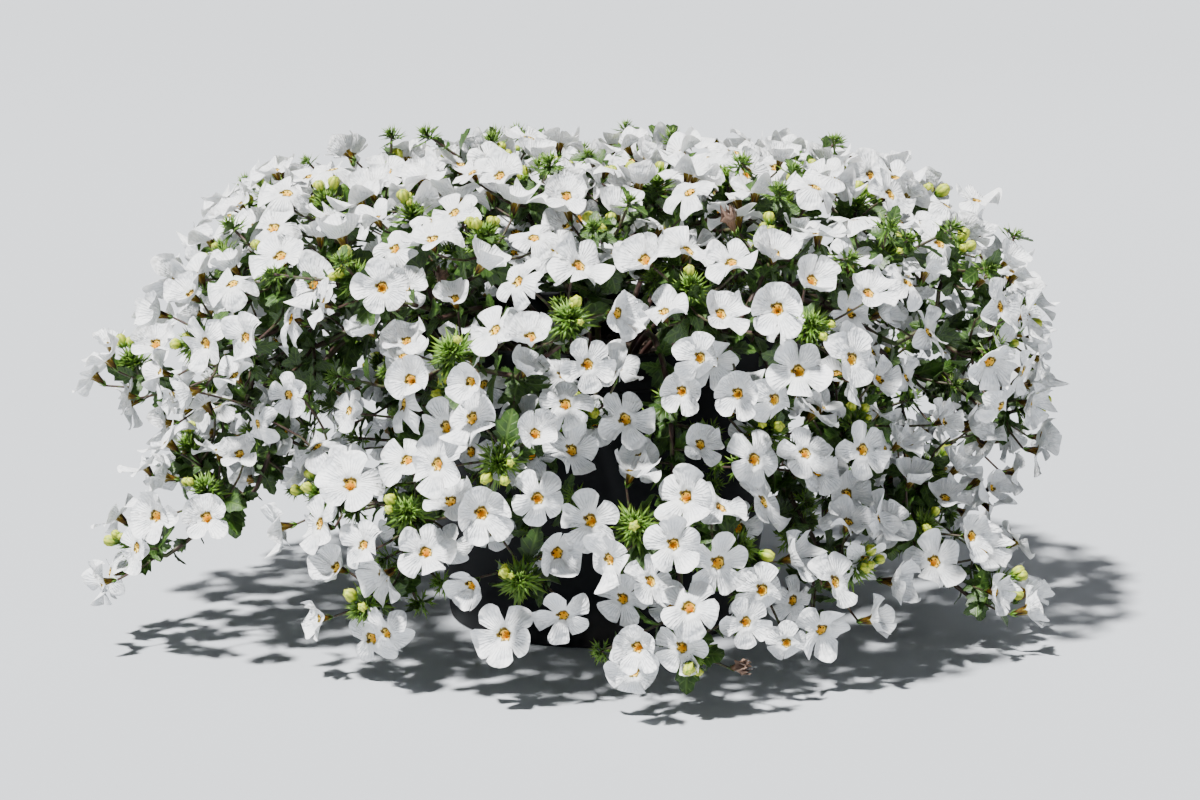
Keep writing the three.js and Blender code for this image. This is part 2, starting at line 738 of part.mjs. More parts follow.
// The way a stem takes from the soil to its fork: up, over the rim where it has to, and out
function stemRoute(stem) {
  const { root, saddle, trailing } = stem;
  stem.fork = along(stem.middle, stem.outward, trailing ? -TRAILING_FORK_DEPTH : -FORK_DEPTH);
  stem.forkway = stem.outward.clone();
  if (trailing) {
    stem.fork.addScaledVector(stem.ahead, -ROUTE.backFromFork);
    stem.forkway.multiplyScalar(ROUTE.outwardAtFork).add(stem.ahead).normalize();
  }
  const start = along(root, UP, ROUTE.rise);
  const places = [start];
  const reach = Math.hypot(stem.fork.x, stem.fork.y);
  if (reach > SADDLE_RADIUS + ROUTE.pastRim) {
    const rise = Math.max(stem.fork.z - start.z, 0);
    const overRim = POT_HEIGHT + (trailing ? ROUTE.trailingAboveRim : ROUTE.aboveRim);
    saddle.setZ(Math.max(overRim, start.z + (rise * SADDLE_RADIUS) / reach + ROUTE.aboveSlope));
    places.push(saddle);
  }
  if (trailing) {
    const bow = saddle.clone().setZ(0).setLength(ROUTE.bowOut).setZ(ROUTE.bowUp);
    places.push(saddle.clone().lerp(stem.fork, 0.5).add(bow));
  } else if (reach > SADDLE_RADIUS + ROUTE.longRun || places.length === 1) {
    places.push(along(stem.fork, stem.forkway, -ROUTE.straightToFork));
  }
  places.push(stem.fork);
  return new THREE.CatmullRomCurve3(places);
}

function buildStem(stem) {
  const skin = new Skin();
  const { route, fork, forkway } = stem;
  const foot = along(stem.root, UP, -ROOT_DEPTH);
  let ring = skin.ring(foot, UP, STEM_RADIUS);
  skin.face(ring[0], ring[2], ring[1]);
  ring = skin.grow(ring, route.getPoint(0), UP, STEM_RADIUS);
  for (let step = 1; step < ROUTE_STEPS; step += 1) {
    const share = step / ROUTE_STEPS;
    ring = skin.grow(ring, route.getPoint(share), route.getTangent(share), STEM_RADIUS);
  }
  // The shoot that lies most straight on carries on from the fork, and the other two leave by its sides
  const middle = along(fork, forkway, FORK_LENGTH / 2);
  const ways = stem.shoots.map((shoot) => {
    const low = along(shoot.tip, shoot.direction, -SHOOT_END - SHOOT_STRETCH);
    return { shoot, way: low.sub(middle).normalize() };
  });
  ways.sort((one, other) => other.way.dot(forkway) - one.way.dot(forkway));
  const [ahead, left, right] = ways;
  const turn = forkTurn(forkway, left.way, right.way);
  const lower = skin.ring(fork, forkway, STEM_RADIUS, turn);
  const upper = skin.ring(along(fork, forkway, FORK_LENGTH), forkway, STEM_RADIUS, turn);
  joinMouth(skin, ring, lower);
  const sides = skin.wall(lower, upper);
  for (const { shoot, way } of [left, right]) {
    const looks = (side) => faceNormal(skin, side).dot(way);
    const free = sides.filter((side) => skin.faces.includes(side));
    const best = free.reduce((held, side) => (looks(side) > looks(held) ? side : held));
    // The face beside it on the same side closes too soon for a second shoot, so it is not offered again
    sides.splice(2 * Math.floor(sides.indexOf(best) / 2), 2);
    addShootEnd(skin, skin.open(best), shoot);
  }
  addShootEnd(skin, upper, ahead.shoot);
  return skin.geometry();
}

// How far the fork is turned so that two of its three sides look the way of the side shoots
function forkTurn(forkway, left, right) {
  const [first, second] = acrossAxes(forkway);
  const bearings = [left, right].map((way) => Math.atan2(way.dot(second), way.dot(first)));
  let best = 0;
  let most = -Infinity;
  for (let step = 0; step < FORK_TURNS; step += 1) {
    const turn = (step / FORK_TURNS) * (TURN / 3);
    const fit = bearings.reduce((sum, bearing) => sum + Math.cos(3 * (bearing - turn) - Math.PI), 0);
    if (fit > most) {
      most = fit;
      best = turn;
    }
  }
  return best;
}

function faceNormal(skin, face) {
  const [a, b, c] = face.map((corner) => skin.points[corner]);
  const edge = b.clone().sub(a);
  return edge.cross(c.clone().sub(a)).normalize();
}

// Closed meshes as solids that can be joined and cut, and back
function solidOf(geometry) {
  const bare = new THREE.BufferGeometry();
  bare.setAttribute('position', geometry.getAttribute('position'));
  bare.setIndex(geometry.getIndex());
  const merged = mergeVertices(bare, WELD);
  const vertProperties = merged.getAttribute('position').array;
  const triVerts = Uint32Array.from(merged.getIndex().array);
  return new wasm.Manifold(new wasm.Mesh({ numProp: 3, vertProperties, triVerts }));
}

function geometryOf(solid) {
  const mesh = solid.getMesh();
  const geometry = new THREE.BufferGeometry();
  geometry.setAttribute('position', new THREE.BufferAttribute(mesh.vertProperties, 3));
  geometry.setIndex(new THREE.BufferAttribute(mesh.triVerts, 1));
  return geometry;
}

// A solid of revolution about Z from a profile of radius and height that starts and ends on the axis
function turned(profile, sides) {
  const points = profile.map(([radius, height]) => new THREE.Vector2(radius, height));
  return new THREE.LatheGeometry(points, sides).rotateX(Math.PI / 2);
}

// The outside of the pot's wall below its rim band
function potRadiusAt(height) {
  const taper = POT_RIM_RADIUS - RIM_PROUD - POT_BASE_RADIUS;
  return POT_BASE_RADIUS + (taper * height) / POT_HEIGHT;
}

// The pot: a tapered wall with a proud rim band, and a floor with drain holes through it
function buildPot() {
  const inner = (height) => potRadiusAt(height) - POT_WALL;
  const rimLow = POT_HEIGHT - RIM_HEIGHT;
  const profile = [
    [0, 0],
    [POT_BASE_RADIUS - EDGE_CHAMFER, 0],
    [POT_BASE_RADIUS, EDGE_CHAMFER],
    [potRadiusAt(rimLow), rimLow],
    [POT_RIM_RADIUS, rimLow + EDGE_CHAMFER],
    [POT_RIM_RADIUS, POT_HEIGHT - EDGE_CHAMFER],
    [POT_RIM_RADIUS - EDGE_CHAMFER, POT_HEIGHT],
    [inner(POT_HEIGHT), POT_HEIGHT],
    [inner(FLOOR_THICKNESS), FLOOR_THICKNESS],
    [0, FLOOR_THICKNESS],
  ];
  let pot = solidOf(turned(profile, POT_SIDES));
  for (let hole = 0; hole < DRAIN_HOLES; hole += 1) {
    const angle = ((hole + 0.5) * TURN) / DRAIN_HOLES;
    const drill = new THREE.CylinderGeometry(DRAIN_RADIUS, DRAIN_RADIUS, 4 * FLOOR_THICKNESS, DRILL_SIDES);
    drill.rotateX(Math.PI / 2);
    drill.translate(DRAIN_CIRCLE * Math.cos(angle), DRAIN_CIRCLE * Math.sin(angle), 0);
    pot = pot.subtract(solidOf(drill));
  }
  return geometryOf(pot);
}

// The potting mix: it fills the pot, is crowned a little, and has a plain hole for each stem
function buildSoil(stems) {
  const gap = CLEARANCE;
  const floor = FLOOR_THICKNESS + gap;
  const side = (height) => potRadiusAt(height) - POT_WALL - gap;
  const profile = [
    [0, floor],
    [side(floor) - EDGE_CHAMFER, floor],
    [side(SOIL_TOP - CROWN_OF_SOIL) - EDGE_CHAMFER, SOIL_TOP - CROWN_OF_SOIL],
    [side(SOIL_TOP) * LEVEL_SHARE_OF_SOIL, SOIL_TOP],
    [0, SOIL_TOP],
  ];
  let soil = solidOf(turned(profile, SOIL_SIDES));
  for (const stem of stems) {
    const hole = new Skin();
    const radius = STEM_RADIUS + 2 * gap;
    const bottom = along(stem.root, UP, -ROOT_DEPTH - gap);
    const low = hole.ring(bottom, UP, radius);
    const high = hole.ring(along(stem.root, UP, HOLE_OPENING), UP, radius);
    hole.face(low[0], low[2], low[1]);
    hole.wall(low, high);
    hole.face(...high);
    soil = soil.subtract(solidOf(hole.geometry()));
  }
  return geometryOf(soil);
}

// Puts the plant together
const trailers = trailingStems();
const clearOfTrailers = ({ middle }) => {
  return trailers.every((trailer) => middle.distanceTo(trailer.middle) > TRAILING_ROOM);
};
const stems = [...trailers, ...moundStems(MOUND_SPIRAL).filter(clearOfTrailers)];
const shoots = placeShoots(stems);
spreadShoots(shoots);
rootStems(stems);
for (const stem of stems) stem.route = stemRoute(stem);
spreadBlooms(placeBlooms(shoots), twigsOf(stems));

const group = new THREE.Group();

function addMesh(name, geometry, material) {
  const mesh = new THREE.Mesh(geometry, material);
  mesh.name = name;
  group.add(mesh);
}

const plastic = new THREE.MeshStandardMaterial({ color: 0x14171a, roughness: 0.55, metalness: 0 });
const mix = new THREE.MeshStandardMaterial({ color: 0x2b1f17, roughness: 1, metalness: 0 });
const petal = new THREE.MeshStandardMaterial({ color: 0xf4f5f7, roughness: 0.6, metalness: 0 });

addMesh('pot', buildPot(), plastic);
addMesh('soil', buildSoil(stems), mix);
stems.forEach((stem, order) => {
  addMesh(`stem_${String(order + 1).padStart(2, '0')}`, buildStem(stem), petal);
});

export default group;
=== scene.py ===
import math
import random

import bmesh
import bpy
import numpy as np
from mathutils import Matrix, Vector


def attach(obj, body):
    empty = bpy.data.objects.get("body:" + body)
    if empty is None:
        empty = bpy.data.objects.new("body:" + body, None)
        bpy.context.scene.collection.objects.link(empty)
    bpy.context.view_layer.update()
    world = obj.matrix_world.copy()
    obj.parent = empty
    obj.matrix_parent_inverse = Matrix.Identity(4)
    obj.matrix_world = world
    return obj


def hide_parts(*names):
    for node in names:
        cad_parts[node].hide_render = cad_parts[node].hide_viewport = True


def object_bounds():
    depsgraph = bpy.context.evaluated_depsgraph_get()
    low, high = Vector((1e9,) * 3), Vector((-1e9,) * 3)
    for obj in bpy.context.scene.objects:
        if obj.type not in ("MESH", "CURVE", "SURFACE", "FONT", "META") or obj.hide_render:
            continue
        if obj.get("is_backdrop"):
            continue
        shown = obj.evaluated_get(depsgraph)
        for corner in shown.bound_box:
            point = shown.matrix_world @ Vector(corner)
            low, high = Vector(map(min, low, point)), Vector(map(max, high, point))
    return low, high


# The potted bacopa: a flowering mound in a nursery pot. The stems' plain meshes in the frame say where
# blooms, leaves and shoots are, and finer ones grow in their places.

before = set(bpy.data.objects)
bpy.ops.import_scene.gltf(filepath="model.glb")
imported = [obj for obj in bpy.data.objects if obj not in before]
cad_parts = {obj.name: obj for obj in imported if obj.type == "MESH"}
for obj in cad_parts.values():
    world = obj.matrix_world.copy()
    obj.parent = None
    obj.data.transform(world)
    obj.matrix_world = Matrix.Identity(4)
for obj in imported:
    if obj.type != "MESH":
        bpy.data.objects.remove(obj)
cad_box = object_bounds()

# Sizes in metres, angles in radians unless a name says degrees; the names that end in _RANGE hold the
# lowest and the highest value of a random draw
MM = 0.001
TURN = 2 * math.pi
GOLDEN_TURN = math.pi * (3 - math.sqrt(5))
UP = Vector((0, 0, 1))

# The bloom: five broad lobes round a small funnel
BLOOM_RADIUS = 10.9 * MM
THROAT_RADIUS = 1.8 * MM
TUBE_LENGTH = 5.4 * MM
LOBES = 5
LOBE_COLUMNS = 4
LOBE_HALF_WIDTH = 4.7 * MM
LOBE_ROUNDNESS = 0.5
PETAL_THICKNESS = 0.22 * MM
PATTERN_RADIUS = 1.12 * BLOOM_RADIUS
VEINS = 44

# Shares of a lobe's length with the share of its width there; the first row joins the lobes, and the
# last one runs round the lobe's end with twice as many points
LOBE_OUTLINE = ((0.2, 0.5), (0.46, 0.82), (0.74, 1), (1, 0.96))

# How the lobes of one bloom differ: the turn to either side, and shares of the common values
LOBE_TURN = 0.06
LENGTH_RANGE = (0.86, 1.1)
WIDTH_RANGE = (0.86, 1.12)
FOLD_RANGE = (0.3, 1.5)
ROUNDNESS_RANGE = (0.75, 1.15)
NOTCH_RANGE = (-0.02, 0.06)

# The funnel's rings: share of its length below the throat, radius, and radius in the pattern
FUNNEL_RINGS = ((1, 0.6 * MM, 0.4 * MM), (0.5, 1.2 * MM, 1.1 * MM), (0, THROAT_RADIUS, THROAT_RADIUS))

# The open forms of the bloom and the withered one, with how often each is drawn: lift is how far a
# lobe rises and curve how far it bends up along its length; ripple and crumple are in millimetres
OPEN_FORMS = (
    {"lift": 0.1, "curve": 0.1, "fold": 0.5, "ripple": 0.5},
    {"lift": 0.35, "curve": 0.1, "fold": 0.7, "ripple": 0.6},
    {"lift": 0.2, "curve": -0.8, "fold": -0.5, "ripple": 0.6},
    {"lift": 0.6, "curve": 0.4, "fold": 0.8, "ripple": 0.5},
    {"lift": 0.2, "curve": 0.2, "fold": -0.6, "ripple": 1.2, "unruly": 0.6},
    {"lift": -0.1, "curve": -0.7, "fold": 0.5, "ripple": 0.7, "unruly": 0.5},
    {"lift": 0.5, "curve": -0.5, "fold": 0.4, "ripple": 1.0, "unruly": 0.65},
    {"lift": 0.85, "curve": 0.2, "fold": 0.5, "ripple": 0.6, "spread": 0.92},
)
WITHERED = {"lift": 1.2, "curve": 1.2, "fold": 1.5, "ripple": 1.2, "spread": 0.7, "crumple": 1.2}
FORM_WEIGHTS = (5, 5, 3, 4, 4, 2.5, 4, 1.5, 0.3)
WITHERED_FADING = 0.95

# The anthers and the calyx
ANTHERS = 4
ANTHER_REACH_RANGE = (0.95 * MM, 1.4 * MM)
ANTHER_HEIGHT_RANGE = (-0.8 * MM, 0.4 * MM)
ANTHER_RADIUS_RANGE = (0.36 * MM, 0.48 * MM)
CALYX_DROP = 0.4 * MM
CALYX_LEAN = 0.5
CALYX_LENGTH = 3.2 * MM
CALYX_WIDTH = 0.9 * MM

# The leaf, and its edge as shares of length and width and how far a tooth juts; the sizes of its three
# forms are shares of its length and width
LEAF_LENGTH = 13 * MM
LEAF_WIDTH = 10 * MM
LEAF_THICKNESS = 0.35 * MM
LEAF_SPACING = 6 * MM
LEAF_ARCH_RANGE = (0.12, 0.32)
LEAF_FOLD_RANGE = (0.1, 0.35)
LEAF_WAVE = 0.04
LEAF_OUTLINE = (
    (0, 0.1, 0), (0.2, 0.5, 0), (0.35, 0.98, 0.05), (0.45, 0.74, 0), (0.62, 0.92, 0.05), (0.71, 0.6, 0),
    (0.87, 0.5, 0.03), (1, 0.06, 0),
)
LEAF_FORMS = (("leaf_broad", 1, 1), ("leaf_slim", 0.9, 0.75), ("leaf_small", 0.75, 0.7))

# How deep a narrow leaf's keel is, as a share of its width
BLADE_DEPTH = 0.3

# The bract, with its teeth as shares of it, and how many bracts a full tuft and a bare tip have
BRACT_LENGTH = 8.5 * MM
BRACT_WIDTH = 1.3 * MM
TOOTH_FOOT = 0.38
TOOTH_LENGTH = 0.42
TOOTH_WIDTH = 0.8
TOOTH_LEAN = 0.75
TUFT_BRACTS = (40, 44, 48)
TIP_BRACTS = 24

# The bud, its rings as shares of height, radius and pattern, and its forms with radius and height as
# shares of the bud's radius
BUD_RADIUS = 2.4 * MM
BUD_RINGS = ((0, 0.4, 0.12), (0.35, 0.9, 0.24), (0.68, 1, 0.36), (0.92, 0.66, 0.44))
BUD_FORMS = (("bud_round", 0.95, 1.8), ("bud_small", 0.65, 1.3), ("bud_long", 0.95, 2.5))
BUD_CREASE = 0.72
BUD_WIND = 0.5
BUD_FOLD_RANGE = (0.85, 1.12)
BUD_SQUASH_RANGE = (0.9, 1.1)
BUD_STALK_LENGTH = 6 * MM
BUD_STALK_WIDTH = 0.9 * MM
BUD_CALYX_LEAN = 0.75
BUD_CALYX_LENGTH = 3.4 * MM
BUD_CALYX_WIDTH = 1.1 * MM

# The pot and its compost
POT_HEIGHT = 112 * MM
POT_RADIUS = 76 * MM
POT_BASE_RADIUS = 57 * MM
POT_WALL = 2 * MM
POT_FLOOR = 3 * MM
POT_HOLLOW = 1.2 * MM
POT_EDGE = 1 * MM
POT_SIDES = 96
FOOT_RADIUS = 42 * MM
RIM_HEIGHT = 13 * MM
RIM_PROUD = 2 * MM
DRAIN_HOLES = 4
DRAIN_RADIUS = 5 * MM
DRAIN_CIRCLE = 32 * MM
DRAIN_SIDES = 32
SOIL_TOP = 97 * MM
SOIL_CROWN = 2 * MM
SOIL_GAP = 0.4 * MM
CRUMB_RADIUS = 1.6 * MM
CRUMB_FORMS = 3
CRUMB_LUMP_RANGE = (0.7, 1.3)
CRUMB_TOP_RANGE = (0.6, 1)

# How the stems are read: where the corners of their meshes are joined, how flat a bloom's face is, how
# alike two directions are, and how many edges meet at a leaf's crest and rib and at a shoot's heart
WELD = 0.002 * MM
FLATNESS = 1 - 2e-6
SAME_WAY = 0.9999
CREST_EDGES = 9
RIB_EDGES = 10
HEART_EDGES = 6
NEEDLE_EDGES = 3
CREST_TO_RIB = 1.5 * MM

# Each twig's thickness at its foot and at its end
TRUNK_THICKNESS = (1.35 * MM, 0.75 * MM)
SHOOT_THICKNESS = (1.05 * MM, 0.7 * MM)
STALK_THICKNESS = (0.55 * MM, 0.42 * MM)
LEAF_STALK_THICKNESS = (0.5 * MM, 0.4 * MM)
TIP_THICKNESS = (0.7 * MM, 0.5 * MM)

# How each stem grows its blooms, tufts and buds, and where small leaves line the twigs
BLOOM_LEAN = 0.48
BLOOM_SIZE_RANGE = (0.86, 1.06)
TUFT_SIZE_RANGE = (0.95, 1.2)
TUFT_LIFT = 2 * MM
TIP_SIZE_RANGE = (0.6, 0.85)
TIP_SAG = 2 * MM
BUD_COUNTS = (1, 2, 3, 3, 4)
BUD_PICKS = (0, 0, 1, 2)
BUD_LEAN_RANGE = (0.1, 0.9)
BUD_REACH_RANGE = (6 * MM, 8.5 * MM)
BUD_SIZE_RANGE = (0.8, 1.1)
LEAFY_STALK = 14 * MM
LEAFY_STEP = 3 * MM
LEAFY_ROOM = 10 * MM

# The canopy's heart, which the blooms look away from, and how its open places are looked for
HEART = Vector((0.009, 0, 0.07))
FILL_DIRECTIONS = 2200
LOWEST_DIRECTION = -0.5
NEAR_BLOOMS = 4
DEPTH_RANGE = (0.95, 1.04)
FILL_SIZE_RANGE = (0.82, 1.0)
FILL_ROOM = {"blooms": 20 * MM, "tips": 12 * MM}
FILL_RISE = 0.2
FILL_LEAN = 0.35
LOWEST_BLOOM = 17 * MM
LONGEST_TWIG = 40 * MM
TWIG_DEPTH = 14 * MM
SOURCE_STEP = 5 * MM
SOURCE_ROOM = 8 * MM

# What fills them, layer by layer: its share of the blooms' distance from the heart, its spacing, the
# most of it, and the lowest and the highest slope that it grows on
FILL_LAYERS = (
    ("blooms", 1.0, 15.5 * MM, 155, -1, 1),
    ("tips", 1.03, 14 * MM, 45, 0.3, 1),
    ("tips", 0.86, 12 * MM, 80, -1, 0.3),
    ("blooms", 0.84, 13.5 * MM, 75, -1, 0.4),
    ("blooms", 0.8, 14 * MM, 30, 0.4, 1),
    ("tips", 0.72, 12 * MM, 90, -1, 1),
)

# Gaps low down between the sprays, kept open: degrees round the pot from one side to the other, and height
LOW_GAPS = ((-118, -90, 48 * MM), (-180, -138, 50 * MM), (150, 180, 50 * MM), (-45, -15, 35 * MM))

# Seeds of the random draws, one for each thing that is drawn
FORM_SEED = 11
FILL_SEED = 23
CRUMB_SEED = 31
STEM_SEED = 100

# Every small form has its own square of a sheet, four by four, in the map named OFBake
SHEET_SIDE = 4
SHEET_MARGIN = 0.04
TILE_SIZE = (1 - 2 * SHEET_MARGIN) / SHEET_SIDE
TILE = {"corolla": 0, "leaf": 9, "bract": 12, "bud": 13, "calyx": 14, "bark": 15}

# A wide floor that curves up gently far away, so that it is the background from every side
FLOOR_RADIUS = 10
FLOOR_SIDES = 64
FLOOR_COLOUR = (0.44, 0.463, 0.495)
SWEEP_RADIUS = 8
SWEEP_ANGLE = math.radians(45)
SWEEP_STEPS = 8

# A high sun with soft edges, two lamps and a weak sky; a lamp has a name, a place, what it looks at, a
# width, a power and a colour
SUN_POWER = 13
SUN_WIDTH = math.radians(4)
SUN_COLOUR = (1, 0.985, 0.96)
SUN_WAY = Vector((0.31, 0.33, -0.89))
LAMPS = (
    ("fill", (1.6, -1.6, 0.9), (0, 0, 0.08), 1.4, 3, (0.93, 0.96, 1)),
    ("back", (0.4, 1.8, 1.6), (0, 0, 0.1), 1.2, 8, (1, 1, 1)),
)
SKY_COLOUR = (0.80, 0.86, 0.95, 1)
SKY_POWER = 0.07

# The camera; its focal length is counted in pixels of a picture 1200 pixels wide
CAMERA_PLACE = (0, -1.144, 0.300)
CAMERA_DIP = math.radians(10.8)
FOCAL_PIXELS = 3075
PICTURE_WIDTH = 1200
SENSOR_WIDTH = 36


# Nodes, for materials and for shapes


class Value:
    """A socket that sums and products can be written with"""

    def __init__(self, graph, socket):
        self.graph = graph
        self.socket = socket

    def maths(self, operation, other=None):
        sockets = {0: self}
        if other is not None:
            sockets[1] = other
        return self.graph.node("ShaderNodeMath", {"operation": operation}, sockets)[0]

    def __add__(self, other):
        return self.maths("ADD", other)

    def __sub__(self, other):
        return self.maths("SUBTRACT", other)

    def __mul__(self, other):
        return self.maths("MULTIPLY", other)

    def __truediv__(self, other):
        return self.maths("DIVIDE", other)

    def __pow__(self, other):
        return self.maths("POWER", other)

    def __radd__(self, other):
        return self + other

    def __rmul__(self, other):
        return self * other

    def __rsub__(self, other):
        return self * -1 + other

    def sine(self):
        return self.maths("SINE")

    def step(self, low, high):
        """0 below low, 1 above high and smooth between"""
        settings = {"interpolation_type": "SMOOTHSTEP"}
        return self.graph.node("ShaderNodeMapRange", settings, {0: self, 1: low, 2: high})[0]


class Graph:
    """A node tree: node() adds any node by its type, its settings, and its sockets' values or links"""

    def __init__(self, tree):
        self.tree = tree

    def node(self, kind, settings=None, sockets=None):
        node = self.tree.nodes.new(kind)
        for name, setting in (settings or {}).items():
            setattr(node, name, setting)
        for name, value in (sockets or {}).items():
            socket = node.inputs[name]
            if isinstance(value, Value):
                self.tree.links.new(value.socket, socket)
            elif socket.type == "RGBA" and len(value) == 3:
                socket.default_value = (*value, 1)
            else:
                socket.default_value = value
        return Outputs(self, node)


class Outputs:
    """A node's outputs, by name or number"""

    def __init__(self, graph, node):
        self.graph = graph
        self.node = node

    def __getitem__(self, name):
        return Value(self.graph, self.node.outputs[name])


class Finish(Graph):
    """A material under construction"""

    def __init__(self, name):
        self.material = bpy.data.materials.new(name)
        self.material.use_nodes = True
        super().__init__(self.material.node_tree)
        self.tree.nodes.clear()

    def pattern(self):
        """The place on a small form's own pattern, from 0 to 1 each way"""
        return self.node("ShaderNodeUVMap", {"uv_map": "pattern"})["UV"]

    def object_place(self):
        """The place on the object itself, in metres"""
        return self.node("ShaderNodeTexCoord")["Object"]

    def stretch(self, place, scale):
        """A pattern drawn out its own way along each axis"""
        return self.node("ShaderNodeMapping", None, {"Vector": place, "Scale": scale})["Vector"]

    def noise(self, place, scale, detail=3.0, roughness=0.55):
        sockets = {"Vector": place, "Scale": scale, "Detail": detail, "Roughness": roughness}
        return self.node("ShaderNodeTexNoise", None, sockets)["Fac"]

    def parts(self, place):
        split = self.node("ShaderNodeSeparateXYZ", None, {0: place})
        return split["X"], split["Y"], split["Z"]

    def polar(self, place):
        """How far a place is from the middle of the pattern, where it is 0, and at what angle"""
        x, y, _ = self.parts(place)
        across = x * 2 - 1
        along = y * 2 - 1
        reach = (across * across + along * along) ** 0.5
        return reach, self.node("ShaderNodeMath", {"operation": "ARCTAN2"}, {0: along, 1: across})[0]

    def mix(self, share, low, high):
        sockets = {"Factor": share, 6: low, 7: high}
        return self.node("ShaderNodeMix", {"data_type": "RGBA"}, sockets)[2]

    def bump(self, height, strength, distance):
        sockets = {"Height": height, "Strength": strength, "Distance": distance}
        return self.node("ShaderNodeBump", None, sockets)["Normal"]

    def surface(self, sockets):
        shader = self.node("ShaderNodeBsdfPrincipled", None, sockets)
        self.node("ShaderNodeOutputMaterial", None, {"Surface": shader["BSDF"]})
        return self.material


class Tree(Graph):
    """A Geometry Nodes tree whose inputs are named, and the pieces that it makes"""

    def __init__(self, name, inputs):
        super().__init__(bpy.data.node_groups.new(name, "GeometryNodeTree"))
        face = self.tree.interface
        face.new_socket("Geometry", in_out="INPUT", socket_type="NodeSocketGeometry")
        for label, (kind, value) in inputs.items():
            socket = face.new_socket(label, in_out="INPUT", socket_type="NodeSocket" + kind)
            if value is not None:
                socket.default_value = value
        face.new_socket("Geometry", in_out="OUTPUT", socket_type="NodeSocketGeometry")
        self.given = self.node("NodeGroupInput")
        self.identifiers = {
            item.name: item.identifier
            for item in face.items_tree
            if item.item_type == "SOCKET" and item.in_out == "INPUT"
        }

    def attribute(self, name, kind="FLOAT"):
        settings = {"data_type": kind}
        return self.node("GeometryNodeInputNamedAttribute", settings, {"Name": name})["Attribute"]

    def chance(self, low, high, seed):
        """A number for each point, drawn between low and high"""
        sockets = {2: low, 3: high, "Seed": seed}
        return self.node("FunctionNodeRandomValue", {"data_type": "FLOAT"}, sockets)[1]

    def turned(self, turn, axis, angle):
        """A turn, turned further round one of its own axes"""
        sockets = {"Axis": axis, "Angle": angle}
        own = self.node("FunctionNodeAxisAngleToRotation", None, sockets)["Rotation"]
        if turn is None:
            return own
        sockets = {"Rotation": turn, "Rotate By": own}
        return self.node("FunctionNodeRotateRotation", {"rotation_space": "LOCAL"}, sockets)["Rotation"]

    def set_forms(self, points, pick, turn, size):
        """Sets a form from the shelf on each point"""
        settings = {"transform_space": "ORIGINAL"}
        sockets = {"Collection": self.given["Forms"], "Separate Children": True, "Reset Children": True}
        forms = self.node("GeometryNodeCollectionInfo", settings, sockets)["Instances"]
        sockets = {
            "Points": points, "Instance": forms, "Pick Instance": True, "Instance Index": pick,
            "Rotation": turn, "Scale": size,
        }
        return self.node("GeometryNodeInstanceOnPoints", None, sockets)["Instances"]

    def store(self, geometry, name, value, kind="FLOAT", domain="POINT"):
        settings = {"data_type": kind, "domain": domain}
        sockets = {"Geometry": geometry, "Name": name, "Value": value}
        return self.node("GeometryNodeStoreNamedAttribute", settings, sockets)["Geometry"]

    def end(self, geometry):
        """Every tree ends in plain geometry with its finish on it"""
        plain = self.node("GeometryNodeRealizeInstances", None, {"Geometry": geometry})["Geometry"]
        sockets = {"Geometry": plain, "Material": self.given["Finish"]}
        done = self.node("GeometryNodeSetMaterial", None, sockets)["Geometry"]
        self.node("NodeGroupOutput", None, {"Geometry": done})

    def grow(self, mesh, **inputs):
        """Runs the tree on a mesh and gives the mesh that comes out"""
        piece = bpy.data.objects.new("growing", mesh)
        bpy.context.scene.collection.objects.link(piece)
        modifier = piece.modifiers.new("tree", "NODES")
        modifier.node_group = self.tree
        for label, value in inputs.items():
            modifier[self.identifiers[label.replace("_", " ")]] = value
        graph = bpy.context.evaluated_depsgraph_get()
        result = bpy.data.meshes.new_from_object(
            piece.evaluated_get(graph), preserve_all_data_layers=True, depsgraph=graph
        )
        piece.modifiers.remove(modifier)
        bpy.data.objects.remove(piece)
        bpy.data.meshes.remove(mesh)
        return result


# Small forms, made point by point


def tile_corner(tile):
    """The first corner of a form's own square on the sheet"""
    column, row = tile % SHEET_SIDE, tile // SHEET_SIDE
    return np.array([column + SHEET_MARGIN, row + SHEET_MARGIN]) / SHEET_SIDE


